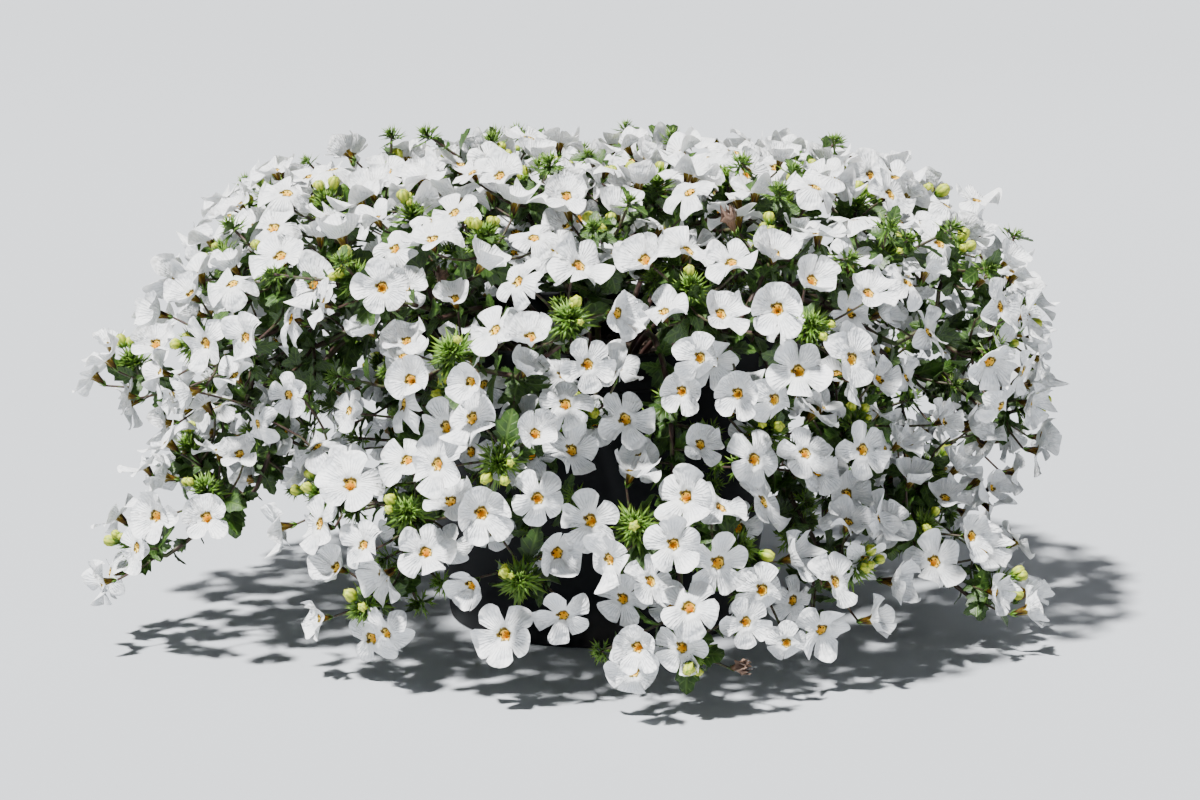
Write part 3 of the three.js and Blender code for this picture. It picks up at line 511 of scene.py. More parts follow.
class Form:
    """Points with their places in the pattern, and the faces between them"""

    def __init__(self):
        self.points = []
        self.spots = []
        self.faces = []
        self.back_spots = {}
        self.funnel_faces = 0
        self.edge = []

    def point(self, place, spot, back_spot=None):
        self.points.append(Vector(place))
        self.spots.append(spot)
        if back_spot:
            self.back_spots[len(self.points) - 1] = back_spot
        return len(self.points) - 1

    def strip(self, low, high):
        """Faces between two rows of points that run the same way"""
        for corners in zip(low, low[1:], high[1:], high):
            unique = list(dict.fromkeys(corners))
            if len(unique) > 2:
                self.faces.append(unique)

    def widening_strip(self, low, high):
        """Faces from a row to one with twice as many steps"""
        for order, (a, b) in enumerate(zip(low, low[1:])):
            first, second, third = high[2 * order:2 * order + 3]
            self.faces.append([a, b, third, second, first])

    def thicken(self, thickness):
        """Gives a sheet a back that meets its edge, so that it closes"""
        normals = [Vector() for _ in self.points]
        sides = set()
        for face in self.faces:
            around = list(zip(face, face[1:] + face[:1]))
            sides.update(around)
            normal = sum((self.points[a].cross(self.points[b]) for a, b in around), Vector())
            for corner in face:
                normals[corner] += normal
        self.edge = sorted((a, b) for a, b in sides if (b, a) not in sides)
        on_edge = {corner for side in self.edge for corner in side}
        backs = []
        for order, (place, normal) in enumerate(zip(self.points[:], normals)):
            if order in on_edge:
                backs.append(order)
            else:
                backs.append(self.point(place - normal.normalized() * thickness, self.spots[order]))
        self.faces += [[backs[corner] for corner in reversed(face)] for face in self.faces]
        self.back_spots = {backs[order]: spot for order, spot in self.back_spots.items()}
        return self

    def face_spots(self):
        """Each corner's place in the pattern; the funnel's outside has a patch of its own"""
        fronts = len(self.faces) // 2
        for order, face in enumerate(self.faces):
            outside = fronts <= order < fronts + self.funnel_faces
            for corner in face:
                yield self.back_spots.get(corner, self.spots[corner]) if outside else self.spots[corner]

    def plain_mesh(self, name):
        mesh = bpy.data.meshes.new(name)
        mesh.from_pydata([tuple(place) for place in self.points], [], self.faces)
        return mesh

    def mesh(self, name, tile):
        """A smooth mesh with its pattern and its own square of the sheet"""
        mesh = self.plain_mesh(name)
        spots = np.array(list(self.face_spots()))
        placed = tile_corner(tile) + TILE_SIZE * spots
        for label, places in (("pattern", spots), ("OFBake", placed)):
            layer = mesh.uv_layers.new(name=label)
            layer.uv.foreach_set("vector", places.astype(np.float32).ravel())
        mesh.shade_smooth()
        edge = {tuple(sorted(side)) for side in self.edge}
        sharp = mesh.attributes.new("sharp_edge", "BOOLEAN", "EDGE")
        sharp.data.foreach_set("value", [tuple(sorted(side.vertices)) in edge for side in mesh.edges])
        return mesh


def shelf(name, meshes):
    """A collection of forms to pick from by number"""
    collection = bpy.data.collections.new(name)
    for order, mesh in enumerate(meshes):
        collection.objects.link(bpy.data.objects.new(f"{name}_{order:02d}", mesh))
    return collection


def ring(radius, height, count):
    """Places on a level circle, the first one half a lobe before +X"""
    for order in range(count):
        angle = TURN * (order / count - 0.5 / LOBES)
        yield Vector((radius * math.cos(angle), radius * math.sin(angle), height))


def pattern_spot(place):
    """Where a bloom's point lies in its pattern, seen from above"""
    return (0.5 + 0.5 * place[0] / PATTERN_RADIUS, 0.5 + 0.5 * place[1] / PATTERN_RADIUS)


def funnel(form):
    """The bloom's tube, closed at its foot; gives the row of points round the throat"""
    foot = form.point((0, 0, -TUBE_LENGTH), (0.5, 0.5), (0.01, 0.01))
    columns = LOBES * LOBE_COLUMNS
    narrow = columns // 2
    below = [foot] * (narrow + 1)
    for order, (depth, radius, drawn) in enumerate(FUNNEL_RINGS):
        count = columns if depth == 0 else narrow
        row = []
        for side, place in enumerate(ring(radius, -depth * TUBE_LENGTH, count)):
            drawn_place = Vector((place.x, place.y)) * (drawn / radius)
            back_spot = (0.01 + 0.1 * side / count, 0.04 + 0.03 * order)
            row.append(form.point(place, pattern_spot(drawn_place), back_spot))
        row.append(row[0])
        if count == narrow:
            form.strip(below, row)
        else:
            form.widening_strip(below, row)
        below = row
    form.funnel_faces = len(form.faces)
    return below


def corolla(draw, lift, curve, fold, ripple, unruly=0.35, spread=1.0, crumple=0.0):
    """A bloom's funnel and lobes, open towards +Z, with its first lobe along +X"""
    form = Form()
    throat = funnel(form)
    span = TURN / LOBES
    shared = {}
    for lobe in range(LOBES):
        turned = Matrix.Rotation(lobe * span + LOBE_TURN * draw.uniform(-1, 1), 3, "Z")
        length = (BLOOM_RADIUS - THROAT_RADIUS) * spread * draw.uniform(*LENGTH_RANGE)
        width = LOBE_HALF_WIDTH * spread * draw.uniform(*WIDTH_RANGE)
        rise = lift + unruly * draw.uniform(-1, 1)
        width *= 0.7 + 0.3 * math.cos(rise)
        bend = curve + 1.3 * unruly * draw.uniform(-1, 1)
        trough = fold * draw.uniform(*FOLD_RANGE)
        twist = 0.8 * unruly * draw.uniform(-1, 1)
        roundness = LOBE_ROUNDNESS * draw.uniform(*ROUNDNESS_RANGE)
        notch = draw.uniform(*NOTCH_RANGE)
        phase = draw.uniform(0, TURN)
        row = throat[lobe * LOBE_COLUMNS:(lobe + 1) * LOBE_COLUMNS + 1]
        for share, half in LOBE_OUTLINE:
            upper = []
            lowest = share == LOBE_OUTLINE[0][0]
            columns = 2 * LOBE_COLUMNS if share == 1 else LOBE_COLUMNS
            for column in range(columns + 1):
                side = 2 * column / columns - 1
                seam = (lobe + (side > 0)) % LOBES
                joined = lowest and abs(side) == 1
                if joined and seam in shared:
                    upper.append(shared[seam])
                    continue
                rounding = roundness * (1 - math.sqrt(1 - (0.9 * side) ** 2))
                rounding += notch * (1 - abs(side)) ** 2
                along = length * share * (1 - rounding * share ** 3)
                reach = THROAT_RADIUS + along
                across = side * reach * math.tan(span / 2) if lowest else side * width * half
                if joined:
                    place = Vector((reach, across, along * math.sin(lift)))
                    place = Matrix.Rotation(lobe * span, 3, "Z") @ place
                else:
                    climb = rise + bend * share / 2
                    place = Vector((along * math.cos(climb), across, along * math.sin(climb)))
                    place.x += THROAT_RADIUS
                    place.z += share * width * (trough * (side * side - 0.4) + twist * side)
                    place.z += ripple * MM * share * share * math.sin(phase + 2.4 * side + 2.5 * share)
                    place.z += crumple * draw.uniform(-1, 1) * share * MM
                    place.y *= 1 - crumple * 0.35 * share
                    place = turned @ place
                drawn = turned @ Vector((reach, across, 0))
                corner = form.point(place, pattern_spot(drawn))
                if joined:
                    shared[seam] = corner
                upper.append(corner)
            if share == 1:
                form.widening_strip(row, upper)
            else:
                form.strip(row, upper)
            row = upper
    return form.thicken(PETAL_THICKNESS)


def anthers(draw):
    """The anthers in the funnel's mouth"""
    form = Form()
    for order in range(ANTHERS):
        angle = order * TURN / ANTHERS + draw.uniform(-0.3, 0.3)
        reach = draw.uniform(*ANTHER_REACH_RANGE)
        height = draw.uniform(*ANTHER_HEIGHT_RANGE)
        centre = Vector((reach * math.cos(angle), reach * math.sin(angle), height))
        size = draw.uniform(*ANTHER_RADIUS_RANGE)
        spot = (0.62 + 0.08 * order, 0.5)
        low, *round_it, high = [
            form.point(centre + Vector(way) * size, spot)
            for way in ((0, 0, -1), (1, 0, 0), (0, 1, 0), (-1, 0, 0), (0, -1, 0), (0, 0, 1))
        ]
        form.strip([low] * 5, round_it + round_it[:1])
        form.strip(round_it + round_it[:1], [high] * 5)
    return form


def blade(form, foot, way, top, length, width, outline, spots):
    """A slim three-sided leaf from a foot to a point; its flat upper side looks towards top"""
    across = top.cross(way).normalized()
    up = way.cross(across)
    low, high = spots
    below = None
    for share, half in outline:
        centre = foot + way * length * share
        side = across * half * width / 2
        height = low[1] + (high[1] - low[1]) * share
        row = [
            form.point(centre + side, (high[0], height)),
            form.point(centre - side, (low[0], height)),
            form.point(centre - up * half * width * BLADE_DEPTH, ((low[0] + high[0]) / 2, height)),
        ]
        if below:
            form.strip(below + below[:1], row + row[:1])
        else:
            form.faces.append(row[::-1])
        below = row
    tip = form.point(foot + way * length, ((low[0] + high[0]) / 2, high[1]))
    form.strip(below + below[:1], [tip] * 4)


def star(form, height, lean, length, width, turned=0.0):
    """Five narrow green lobes round the axis"""
    for order in range(LOBES):
        angle = (order + turned) * TURN / LOBES
        out = Vector((math.cos(angle), math.sin(angle), 0))
        way = (UP + out * lean).normalized()
        foot = out * 0.3 * MM + UP * height
        spots = ((0.05, 0.05), (0.45, 0.95))
        blade(form, foot, way, -out, length, width, ((0, 0.5), (0.45, 1)), spots)


def calyx():
    """The green star that holds the funnel's foot"""
    form = Form()
    star(form, -TUBE_LENGTH - CALYX_DROP, CALYX_LEAN, CALYX_LENGTH, CALYX_WIDTH, turned=0.5)
    return form


def leaf(draw, length, width):
    """A coarse-toothed leaf along +X with its upper face to +Z"""
    form = Form()
    arch = draw.uniform(*LEAF_ARCH_RANGE)
    fold = draw.uniform(*LEAF_FOLD_RANGE)
    below = None
    for share, half, jut in LEAF_OUTLINE:
        side = half * width / 2
        row = []
        for way in (-1, 0, 1):
            lift = abs(way) * fold * side - arch * length * share * share
            lift += LEAF_WAVE * width * math.sin(5 * share + way)
            place = (length * (share + abs(way) * jut), -way * side, lift)
            row.append(form.point(place, (0.5 + 0.46 * way * half, 0.04 + 0.92 * share)))
        if below:
            form.strip(below, row)
        below = row
    return form.thicken(LEAF_THICKNESS)


def bract():
    """A narrow green bract along +Z with a tooth on each side"""
    form = Form()
    face = Vector((1, 0, 0))
    outline = ((0, 0.5), (0.5, 1))
    blade(form, Vector(), UP, face, BRACT_LENGTH, BRACT_WIDTH, outline, ((0.3, 0.05), (0.7, 0.95)))
    for side, low, high in ((-1, 0.0, 0.25), (1, 0.75, 1.0)):
        way = (UP + Vector((0.1, TOOTH_LEAN * side, 0))).normalized()
        foot = UP * TOOTH_FOOT * BRACT_LENGTH
        length = TOOTH_LENGTH * BRACT_LENGTH
        width = TOOTH_WIDTH * BRACT_WIDTH
        blade(form, foot, way, face, length, width, ((0, 1),), ((low, 0.4), (high, 0.95)))
    return form


def bud(draw, radius, height):
    """A puffed bud on +Z, pleated into five folds that wind a little"""
    form = Form()
    columns = 2 * LOBES
    folds = [draw.uniform(*BUD_FOLD_RANGE) for _ in range(LOBES)]
    foot = form.point((0, 0, -0.12 * height), (0.5, 0.5))
    below = [foot] * (columns + 1)
    squash = draw.uniform(*BUD_SQUASH_RANGE)
    for share, wide, drawn in BUD_RINGS:
        row = []
        for column, place in enumerate(ring(1, 0, columns)):
            crease = folds[column // 2] if column % 2 == 0 else BUD_CREASE
            reach = radius * wide * crease
            place = Matrix.Rotation(BUD_WIND * share, 3, "Z") @ place
            spot = (0.5 + drawn * place.x, 0.5 + drawn * place.y)
            row.append(form.point((reach * place.x * squash, reach * place.y, height * share), spot))
        row.append(row[0])
        form.strip(below, row)
        below = row
    top = form.point((0, 0, height), (0.5, 0.98))
    form.strip(below, [top] * (columns + 1))
    return form


def bud_stalk():
    """The stalk under a bud, with its calyx"""
    form = Form()
    spots = ((0.05, 0.05), (0.2, 0.4))
    foot = -UP * BUD_STALK_LENGTH
    length = 1.1 * BUD_STALK_LENGTH
    blade(form, foot, UP, Vector((1, 0, 0)), length, BUD_STALK_WIDTH, ((0, 1), (0.8, 1)), spots)
    star(form, -0.5 * MM, BUD_CALYX_LEAN, BUD_CALYX_LENGTH, BUD_CALYX_WIDTH)
    return form


# The trees that place and sweep what repeats


def sowing_tree():
    """Sets a form on each point, turned, sized and picked by the point's own values"""
    inputs = {
        "Forms": ("Collection", None),
        "Size spread": ("Float", 0.06),
        "Seed": ("Int", 0),
        "Finish": ("Material", None),
    }
    tree = Tree("sowing", inputs)
    given = tree.given
    spread = given["Size spread"]
    size = tree.attribute("size") * tree.chance(1 - spread, 1 + spread, given["Seed"])
    turn = tree.attribute("turn", "QUATERNION")
    tree.end(tree.set_forms(given["Geometry"], tree.attribute("form", "INT"), turn, size))
    return tree


def twig_tree():
    """Sweeps a round bark along every line, as thick as the line's points say"""
    inputs = {
        "Sides": ("Int", 5),
        "Step": ("Float", 6 * MM),
        "Tile corner": ("Vector", None),
        "Tile size": ("Float", 1.0),
        "Finish": ("Material", None),
    }
    tree = Tree("twigs", inputs)
    given = tree.given
    line = tree.node("GeometryNodeMeshToCurve", None, {"Mesh": given["Geometry"]})["Curve"]
    settings = {"spline_type": "CATMULL_ROM"}
    line = tree.node("GeometryNodeCurveSplineType", settings, {"Curve": line})["Curve"]
    sockets = {"Curve": line, "Length": given["Step"]}
    line = tree.node("GeometryNodeResampleCurve", {"mode": "LENGTH"}, sockets)["Curve"]
    line = tree.store(line, "run", tree.node("GeometryNodeSplineParameter")["Factor"])
    sockets = {"Resolution": given["Sides"], "Radius": 1.0}
    circle = tree.node("GeometryNodeCurvePrimitiveCircle", None, sockets)["Curve"]
    circle = tree.store(circle, "round", tree.node("GeometryNodeSplineParameter")["Factor"])
    thickness = tree.attribute("thickness")
    sockets = {"Curve": line, "Profile Curve": circle, "Scale": thickness, "Fill Caps": True}
    sweep = tree.node("GeometryNodeCurveToMesh", None, sockets)["Mesh"]
    bark = tree.node("GeometryNodeSetShadeSmooth", None, {"Geometry": sweep})["Geometry"]
    sockets = {"X": tree.attribute("round"), "Y": tree.attribute("run")}
    pattern = tree.node("ShaderNodeCombineXYZ", None, sockets)[0]
    bark = tree.store(bark, "pattern", pattern, "FLOAT2", "CORNER")
    sockets = {0: pattern, "Scale": given["Tile size"]}
    scaled = tree.node("ShaderNodeVectorMath", {"operation": "SCALE"}, sockets)[0]
    sockets = {0: scaled, 1: given["Tile corner"]}
    placed = tree.node("ShaderNodeVectorMath", {"operation": "ADD"}, sockets)[0]
    tree.end(tree.store(bark, "OFBake", placed, "FLOAT2", "CORNER"))
    return tree


def leafy_tree():
    """Sets leaves in pairs along every line, each pair square to the last, and smaller to its end"""
    inputs = {
        "Forms": ("Collection", None),
        "Form count": ("Float", float(len(LEAF_FORMS))),
        "Spacing": ("Float", LEAF_SPACING),
        "Lean": ("Float", math.radians(35)),
        "Smallest": ("Float", 0.5),
        "Largest": ("Float", 1.15),
        "Taper": ("Float", 0.4),
        "Seed": ("Int", 0),
        "Finish": ("Material", None),
    }
    tree = Tree("leafy twigs", inputs)
    given = tree.given
    line = tree.node("GeometryNodeMeshToCurve", None, {"Mesh": given["Geometry"]})["Curve"]
    line = tree.store(line, "run", tree.node("GeometryNodeSplineParameter")["Factor"])
    sockets = {"Curve": line, "Length": given["Spacing"]}
    points = tree.node("GeometryNodeCurveToPoints", {"mode": "LENGTH"}, sockets)
    order = tree.node("GeometryNodeInputIndex")["Index"]
    pairs = tree.node("GeometryNodeJoinGeometry")
    for side in (0, 1):
        seed = given["Seed"] + 10 * side
        around = order * (TURN / 4) + side * (TURN / 2) + tree.chance(-0.5, 0.5, seed + 1)
        lean = tree.chance(-0.5, 0.5, seed + 2) - given["Lean"]
        turn = tree.turned(points["Rotation"], (0, 0, 1), around)
        turn = tree.turned(turn, (0, 1, 0), lean)
        pick = tree.chance(0, given["Form count"], seed + 3)
        size = tree.chance(given["Smallest"], given["Largest"], seed + 4)
        size = size * (1 - tree.attribute("run") * given["Taper"])
        pair = tree.set_forms(points["Points"], pick, turn, size)
        tree.tree.links.new(pair.socket, pairs.node.inputs[0])
    tree.end(pairs["Geometry"])
    return tree


def rosette_tree():
    """Packs bracts in a golden spiral, long and spread outside, short and upright at the heart"""
    inputs = {
        "Forms": ("Collection", None),
        "Count": ("Int", 30),
        "Outer tilt": ("Float", math.radians(86)),
        "Inner tilt": ("Float", math.radians(10)),
        "Foot": ("Vector", (0, 0, -3.4 * MM)),
        "Top": ("Vector", (0, 0, 0.6 * MM)),
        "Seed": ("Int", 0),
        "Finish": ("Material", None),
    }
    tree = Tree("rosette", inputs)
    given = tree.given
    settings = {"mode": "END_POINTS"}
    sockets = {"Count": given["Count"], "Start Location": given["Foot"], "Offset": given["Top"]}
    points = tree.node("GeometryNodeMeshLine", settings, sockets)["Mesh"]
    order = tree.node("GeometryNodeInputIndex")["Index"]
    share = order / given["Count"]
    drawn = tree.chance(-0.25, 0.25, given["Seed"])
    tilt = given["Outer tilt"] + (given["Inner tilt"] - given["Outer tilt"]) * share + drawn
    turn = tree.turned(None, (0, 0, 1), order * GOLDEN_TURN + drawn)
    turn = tree.turned(turn, (0, 1, 0), tilt)
    tree.end(tree.set_forms(points, 0, turn, 1.1 - share * 0.5 + drawn * 0.6))
    return tree


# Finishes


def petal_finish():
    """White petals with fine veins and painted shade greying them towards the throat, a golden funnel
    darkened deep inside by painted shade, and brown flecks in its mouth
    """
    finish = Finish("petal")
    place = finish.pattern()
    x, _, _ = finish.parts(place)
    reach, angle = finish.polar(place)
    wander = finish.noise(place, 9.0)
    veins = (angle * VEINS + wander * 8).sine() * 0.5 + 0.5
    veins = veins ** 3 * reach.step(0.22, 0.4) * (1 - reach.step(0.65, 0.95))
    cloud = finish.noise(place, 5.0, 4.0)
    white = finish.mix(cloud.step(0.35, 0.65), (0.76, 0.782, 0.81), (0.91, 0.915, 0.92))
    # Painted shade: the petals grey towards the throat, where the lobes rise round the funnel's mouth
    white = finish.mix((1 - reach.step(0.15, 0.6)) * 0.4, white, (0.60, 0.62, 0.60))
    white = finish.mix(veins * 0.3, white, (0.52, 0.56, 0.60))
    ragged = finish.noise(place, 17.0, 3.0) - 0.5
    flecks = finish.noise(place, 25.0, 2.0).step(0.47, 0.54)
    gold = finish.mix(flecks, (0.090, 0.047, 0.001), (0.010, 0.002, 0.0003))
    # Painted shade: the funnel turns nearly black deep inside
    gold = finish.mix(reach.step(0.03, 0.11), (0.012, 0.003, 0.0005), gold)
    edge = reach + (angle * LOBES).sine() * 0.012 + (angle + 1).sine() * 0.025 + ragged * 0.24
    halo = finish.mix(edge.step(0.12, 0.18), gold, (0.20, 0.145, 0.010))
    colour = finish.mix(edge.step(0.17, 0.22), halo, white)
    outside = finish.mix(x.step(0.0, 0.12), (0.95, 0.52, 0.025), (0.98, 0.72, 0.12))
    colour = finish.mix(reach.step(1.1, 1.12), colour, outside)
    faded = finish.node("ShaderNodeAttribute", {"attribute_name": "faded"})["Fac"]
    brown = finish.mix(cloud.step(0.35, 0.65), (0.10, 0.045, 0.022), (0.28, 0.16, 0.10))
    colour = finish.mix(faded, colour, brown)
    creases = finish.noise(place, 4.5, 2.0)
    relief = finish.bump(veins * 0.4 + cloud * 1.5 + creases * 6, 0.8, 0.6 * MM)
    sockets = {
        "Base Color": colour,
        "Roughness": 0.42 + cloud * 0.2,
        "Normal": relief,
        "Specular IOR Level": 0.25,
        "Subsurface Weight": 0.3,
        "Subsurface Radius": (0.5, 0.5, 0.5),
        "Subsurface Scale": 1 * MM,
    }
    return finish.surface(sockets)


def pollen_finish():
    """Ochre anthers with dark specks"""
    finish = Finish("pollen")
    specks = finish.noise(finish.pattern(), 40.0, 2.0)
    colour = finish.mix(specks.step(0.4, 0.6), (0.060, 0.026, 0.001), (0.30, 0.19, 0.006))
    sockets = {"Base Color": colour, "Roughness": 0.7 + specks * 0.2, "Specular IOR Level": 0.2}
    return finish.surface(sockets)


def leaf_finish():
    """Dark green blades, paler along the veins"""
    finish = Finish("leaf")
    place = finish.pattern()
    x, y, _ = finish.parts(place)
    side = (x * 2 - 1).maths("ABSOLUTE")
    rib = 1 - side.step(0.02, 0.12)
    ribs = ((y - side * 0.28) * 34).sine().step(0.72, 0.98) * side.step(0.05, 0.2)
    veins = rib.maths("MAXIMUM", ribs)
    cloud = finish.noise(place, 6.0, 4.0)
    green = finish.mix(cloud.step(0.32, 0.68), (0.014, 0.043, 0.004), (0.036, 0.092, 0.008))
    colour = finish.mix(veins * 0.55, green, (0.085, 0.16, 0.025))
    relief = finish.bump(cloud - veins * 0.8, 0.5, 0.3 * MM)
    return finish.surface({"Base Color": colour, "Roughness": 0.36 + cloud * 0.22, "Normal": relief})


def bract_finish():
    """Fresh green, paler at the tip"""
    finish = Finish("bract")
    place = finish.pattern()
    _, y, _ = finish.parts(place)
    cloud = finish.noise(place, 7.0)
    green = finish.mix(cloud.step(0.3, 0.7), (0.040, 0.105, 0.006), (0.095, 0.215, 0.012))
    colour = finish.mix(y.step(0.5, 1.0) * 0.7, green, (0.22, 0.36, 0.025))
    return finish.surface({"Base Color": colour, "Roughness": 0.4 + cloud * 0.2})


def bud_finish():
    """Lime-yellow buds, greener at the foot, and darker green in the creases as painted shade"""
    finish = Finish("bud")
    place = finish.pattern()
    reach, angle = finish.polar(place)
    cloud = finish.noise(place, 8.0)
    # Painted shade: darker green along the bud's creases
    crease = (angle * LOBES - reach * 2.5 + TURN / 4).sine().step(0.2, 1.0)
    lime = finish.mix(cloud.step(0.3, 0.7), (0.40, 0.47, 0.012), (0.60, 0.64, 0.06))
    lime = finish.mix(crease * 0.75, lime, (0.17, 0.27, 0.008))
    colour = finish.mix(reach.step(0.25, 0.7), (0.12, 0.24, 0.008), lime)
    return finish.surface({"Base Color": colour, "Roughness": 0.45 + cloud * 0.15})


def bark_finish():
    """Purple-brown twigs with green showing through"""
    finish = Finish("bark")
    place = finish.pattern()
    streaks = finish.noise(finish.stretch(place, (6, 60, 1)), 1.0, 3.0)
    blush = finish.noise(finish.stretch(place, (2, 8, 1)), 1.0, 2.0)
    purple = finish.mix(streaks, (0.022, 0.010, 0.009), (0.064, 0.028, 0.020))
    colour = finish.mix(blush.step(0.45, 0.65), purple, (0.07, 0.11, 0.03))
    return finish.surface({"Base Color": colour, "Roughness": 0.5 + streaks * 0.2})


def pot_finish():
    """Nearly black moulded plastic, faintly clouded, with dust low down"""
    finish = Finish("moulded plastic")
    place = finish.object_place()
    cloud = finish.noise(place, 22.0, 4.0)
    pores = finish.noise(place, 900.0, 2.0)
    _, _, height = finish.parts(place)
    dust = (1 - height.step(0, 0.03)) * finish.noise(place, 60.0, 3.0).step(0.45, 0.7)
    colour = finish.mix(cloud, (0.0035, 0.004, 0.005), (0.007, 0.008, 0.010))
    colour = finish.mix(dust * 0.2, colour, (0.12, 0.11, 0.10))
    relief = finish.bump(pores, 0.12, 0.1 * MM)
    sockets = {
        "Base Color": colour,
        "Roughness": 0.5 + cloud * 0.16 + dust * 0.2,
        "Normal": relief,
        "Specular IOR Level": 0.15,
    }
    return finish.surface(sockets)


def compost_finish():
    """Dark brown potting mix, damp in places"""
    finish = Finish("compost")
    place = finish.object_place()
    crumbs = finish.noise(place, 260.0, 5.0)
    damp = finish.noise(place, 30.0, 3.0)
    colour = finish.mix(crumbs.step(0.3, 0.7), (0.016, 0.010, 0.007), (0.095, 0.062, 0.040))
    colour = finish.mix(damp.step(0.4, 0.7) * 0.5, colour, (0.02, 0.014, 0.010))
    relief = finish.bump(crumbs, 0.8, 1.2 * MM)
    return finish.surface({"Base Color": colour, "Roughness": 0.78 + crumbs * 0.2, "Normal": relief})


# Reading the stems: where their blooms, leaves, tufts and twigs are in the frame's own meshes


def neighbours(points):
    """The points that edges join to these points"""
    return {edge.other_vert(point) for point in points for edge in point.link_edges} - set(points)


def in_order(points):
    """A set of points in the mesh's own order, so that every run reads them alike"""
    return sorted(points, key=lambda point: point.index)


def middle(points):
    """The middle of a set of points"""
    return sum((point.co for point in in_order(points)), Vector()) / len(points)


def flat_patches(mesh):
    """Groups of faces that lie in one plane"""
    seen = set()
    for start in mesh.faces:
        if start in seen:
            continue
        seen.add(start)
        patch = [start]
        for face in patch:
            for other in {near for edge in face.edges for near in edge.link_faces} - seen:
                if other.normal.dot(face.normal) > FLATNESS:
                    seen.add(other)
                    patch.append(other)
        yield patch


def read_blooms(mesh):
    """A bloom's face is a flat five-cornered patch between its lobes' roots"""
    blooms = []
    claimed = set()
    for patch in flat_patches(mesh):
        roots = {point for face in patch for point in face.verts}
        if len(patch) != 3 or len(roots) != LOBES:
            continue
        near = {face for inner in patch for edge in inner.edges for face in edge.link_faces}
        tips = {point for face in near for point in face.verts} - roots
        centre = middle(roots)
        arms = [tip.co - centre for tip in in_order(tips)]
        if len(tips) != LOBES or min(arm.length for arm in arms) < 0.7 * BLOOM_RADIUS:
            continue
        back = neighbours(roots | tips)
        mouth = neighbours(back) - roots - tips
        facing = patch[0].normal.copy()
        first = min(arms, key=lambda arm: arm.x + 2 * arm.y + 3 * arm.z)
        across = (first - facing * first.dot(facing)).normalized()
        reach = sum(arm.length for arm in arms) / LOBES
        blooms.append({
            "centre": centre, "facing": facing, "across": across, "size": reach / BLOOM_RADIUS,
            "root": middle(mouth), "mouth": mouth,
        })
        claimed |= roots | tips | back
    return blooms, claimed


def read_leaves(mesh):
    """A leaf has a crest over a rib, both joined to all of its edge"""
    leaves = []
    claimed = set()
    ribs = [point for point in mesh.verts if len(point.link_edges) == RIB_EDGES]
    for crest in mesh.verts:
        if len(crest.link_edges) != CREST_EDGES:
            continue
        for rib in ribs:
            edge = neighbours([crest]) & neighbours([rib])
            if len(edge) != CREST_EDGES or (rib.co - crest.co).length > CREST_TO_RIB:
                continue
            keel = neighbours([rib]) - edge
            stalk = keel | (edge & neighbours(keel))
            mouth = neighbours(stalk) - edge - {crest, rib}
            foot = middle(stalk)
            places = [point.co for point in in_order(edge)]
            tip = max(places, key=lambda place: (place - foot).length)
            top = (crest.co - rib.co).normalized()
            leaves.append({"foot": foot, "tip": tip.copy(), "top": top, "root": middle(mouth)})
            claimed |= edge | stalk | {crest, rib}
    return leaves, claimed


def read_shoots(mesh, claimed):
    """A shoot ends in a heart with three needles round it; also gives the points that are left"""
    needles = {
        point for point in mesh.verts
        if point not in claimed and len(point.link_edges) == NEEDLE_EDGES
    }
    rest = set(mesh.verts) - claimed
    shoots = []
    for heart in in_order(rest):
        around = neighbours([heart]) & needles
        if len(around) != 3 or len(heart.link_edges) != HEART_EDGES:
            continue
        high = neighbours([heart]) - needles
        way = (heart.co - middle(high)).normalized()
        low = {
            point for corner in high for point in neighbours([corner])
            if (corner.co - point.co).normalized().dot(way) > SAME_WAY
        }
        mouth = neighbours(low) - high - claimed
        shoots.append({
            "heart": heart.co.copy(), "way": way, "high": middle(high), "low": middle(low),
            "start": middle(mouth), "corners": high | low, "mouth": mouth,
        })
        rest -= around | high | low | {heart}
    return shoots, rest


def read_trunk(mesh, rest):
    """The middles of the trunk's rings, from its foot up, and its last ring"""
    foot = min(
        (face for face in mesh.faces if set(face.verts) <= rest and face.normal.z < -0.999),
        key=lambda face: face.calc_center_median().z,
    )
    around = set(foot.verts)
    trunk = []
    seen = set()
    while around:
        trunk.append(middle(around))
        seen |= around
        last = around
        around = (neighbours(around) & rest) - seen
    return trunk, last


def read_stem(node):
    """Everything that grows on one stem, with the lines that its twigs follow"""
    mesh = bmesh.new()
    mesh.from_mesh(node.data)
    bmesh.ops.remove_doubles(mesh, verts=mesh.verts, dist=WELD)
    mesh.verts.index_update()
    mesh.normal_update()
    blooms, on_blooms = read_blooms(mesh)
    leaves, on_leaves = read_leaves(mesh)
    shoots, rest = read_shoots(mesh, on_blooms | on_leaves)
    trunk, last = read_trunk(mesh, rest)
    for shoot in shoots:
        shoot["ahead"] = shoot["mouth"] == last
        for bloom in blooms:
            if bloom["mouth"] <= shoot["corners"]:
                bloom["shoot"] = shoot
    for kept in (*blooms, *shoots):
        for name in ("mouth", "corners"):
            kept.pop(name, None)
    mesh.free()
    return {"blooms": blooms, "leaves": leaves, "shoots": shoots, "trunk": trunk, "tips": []}


# Adding what the plain solids leave out: twigs, and more blooms and tips where there is room


def twig_lines(stem):
    """A stem's lines: its trunk runs on into the shoot ahead, and the others leave from the fork"""
    trunk = stem["trunk"]
    fork = (trunk[-2] + trunk[-1]) / 2
    lines = []
    for shoot in stem["shoots"]:
        end = [shoot["low"], shoot["high"], shoot["heart"]]
        if shoot["ahead"]:
            lines.append((trunk + end, *TRUNK_THICKNESS))
        else:
            bend = shoot["start"].lerp(shoot["low"], 0.25)
            lines.append(([fork, bend] + end, *SHOOT_THICKNESS))
    return lines


def along_line(line, step):
    """Places every step along a line"""
    left = step / 2
    for start, end in zip(line, line[1:]):
        length = (end - start).length
        while left < length:
            yield start.lerp(end, left / length)
            left += step
        left -= length


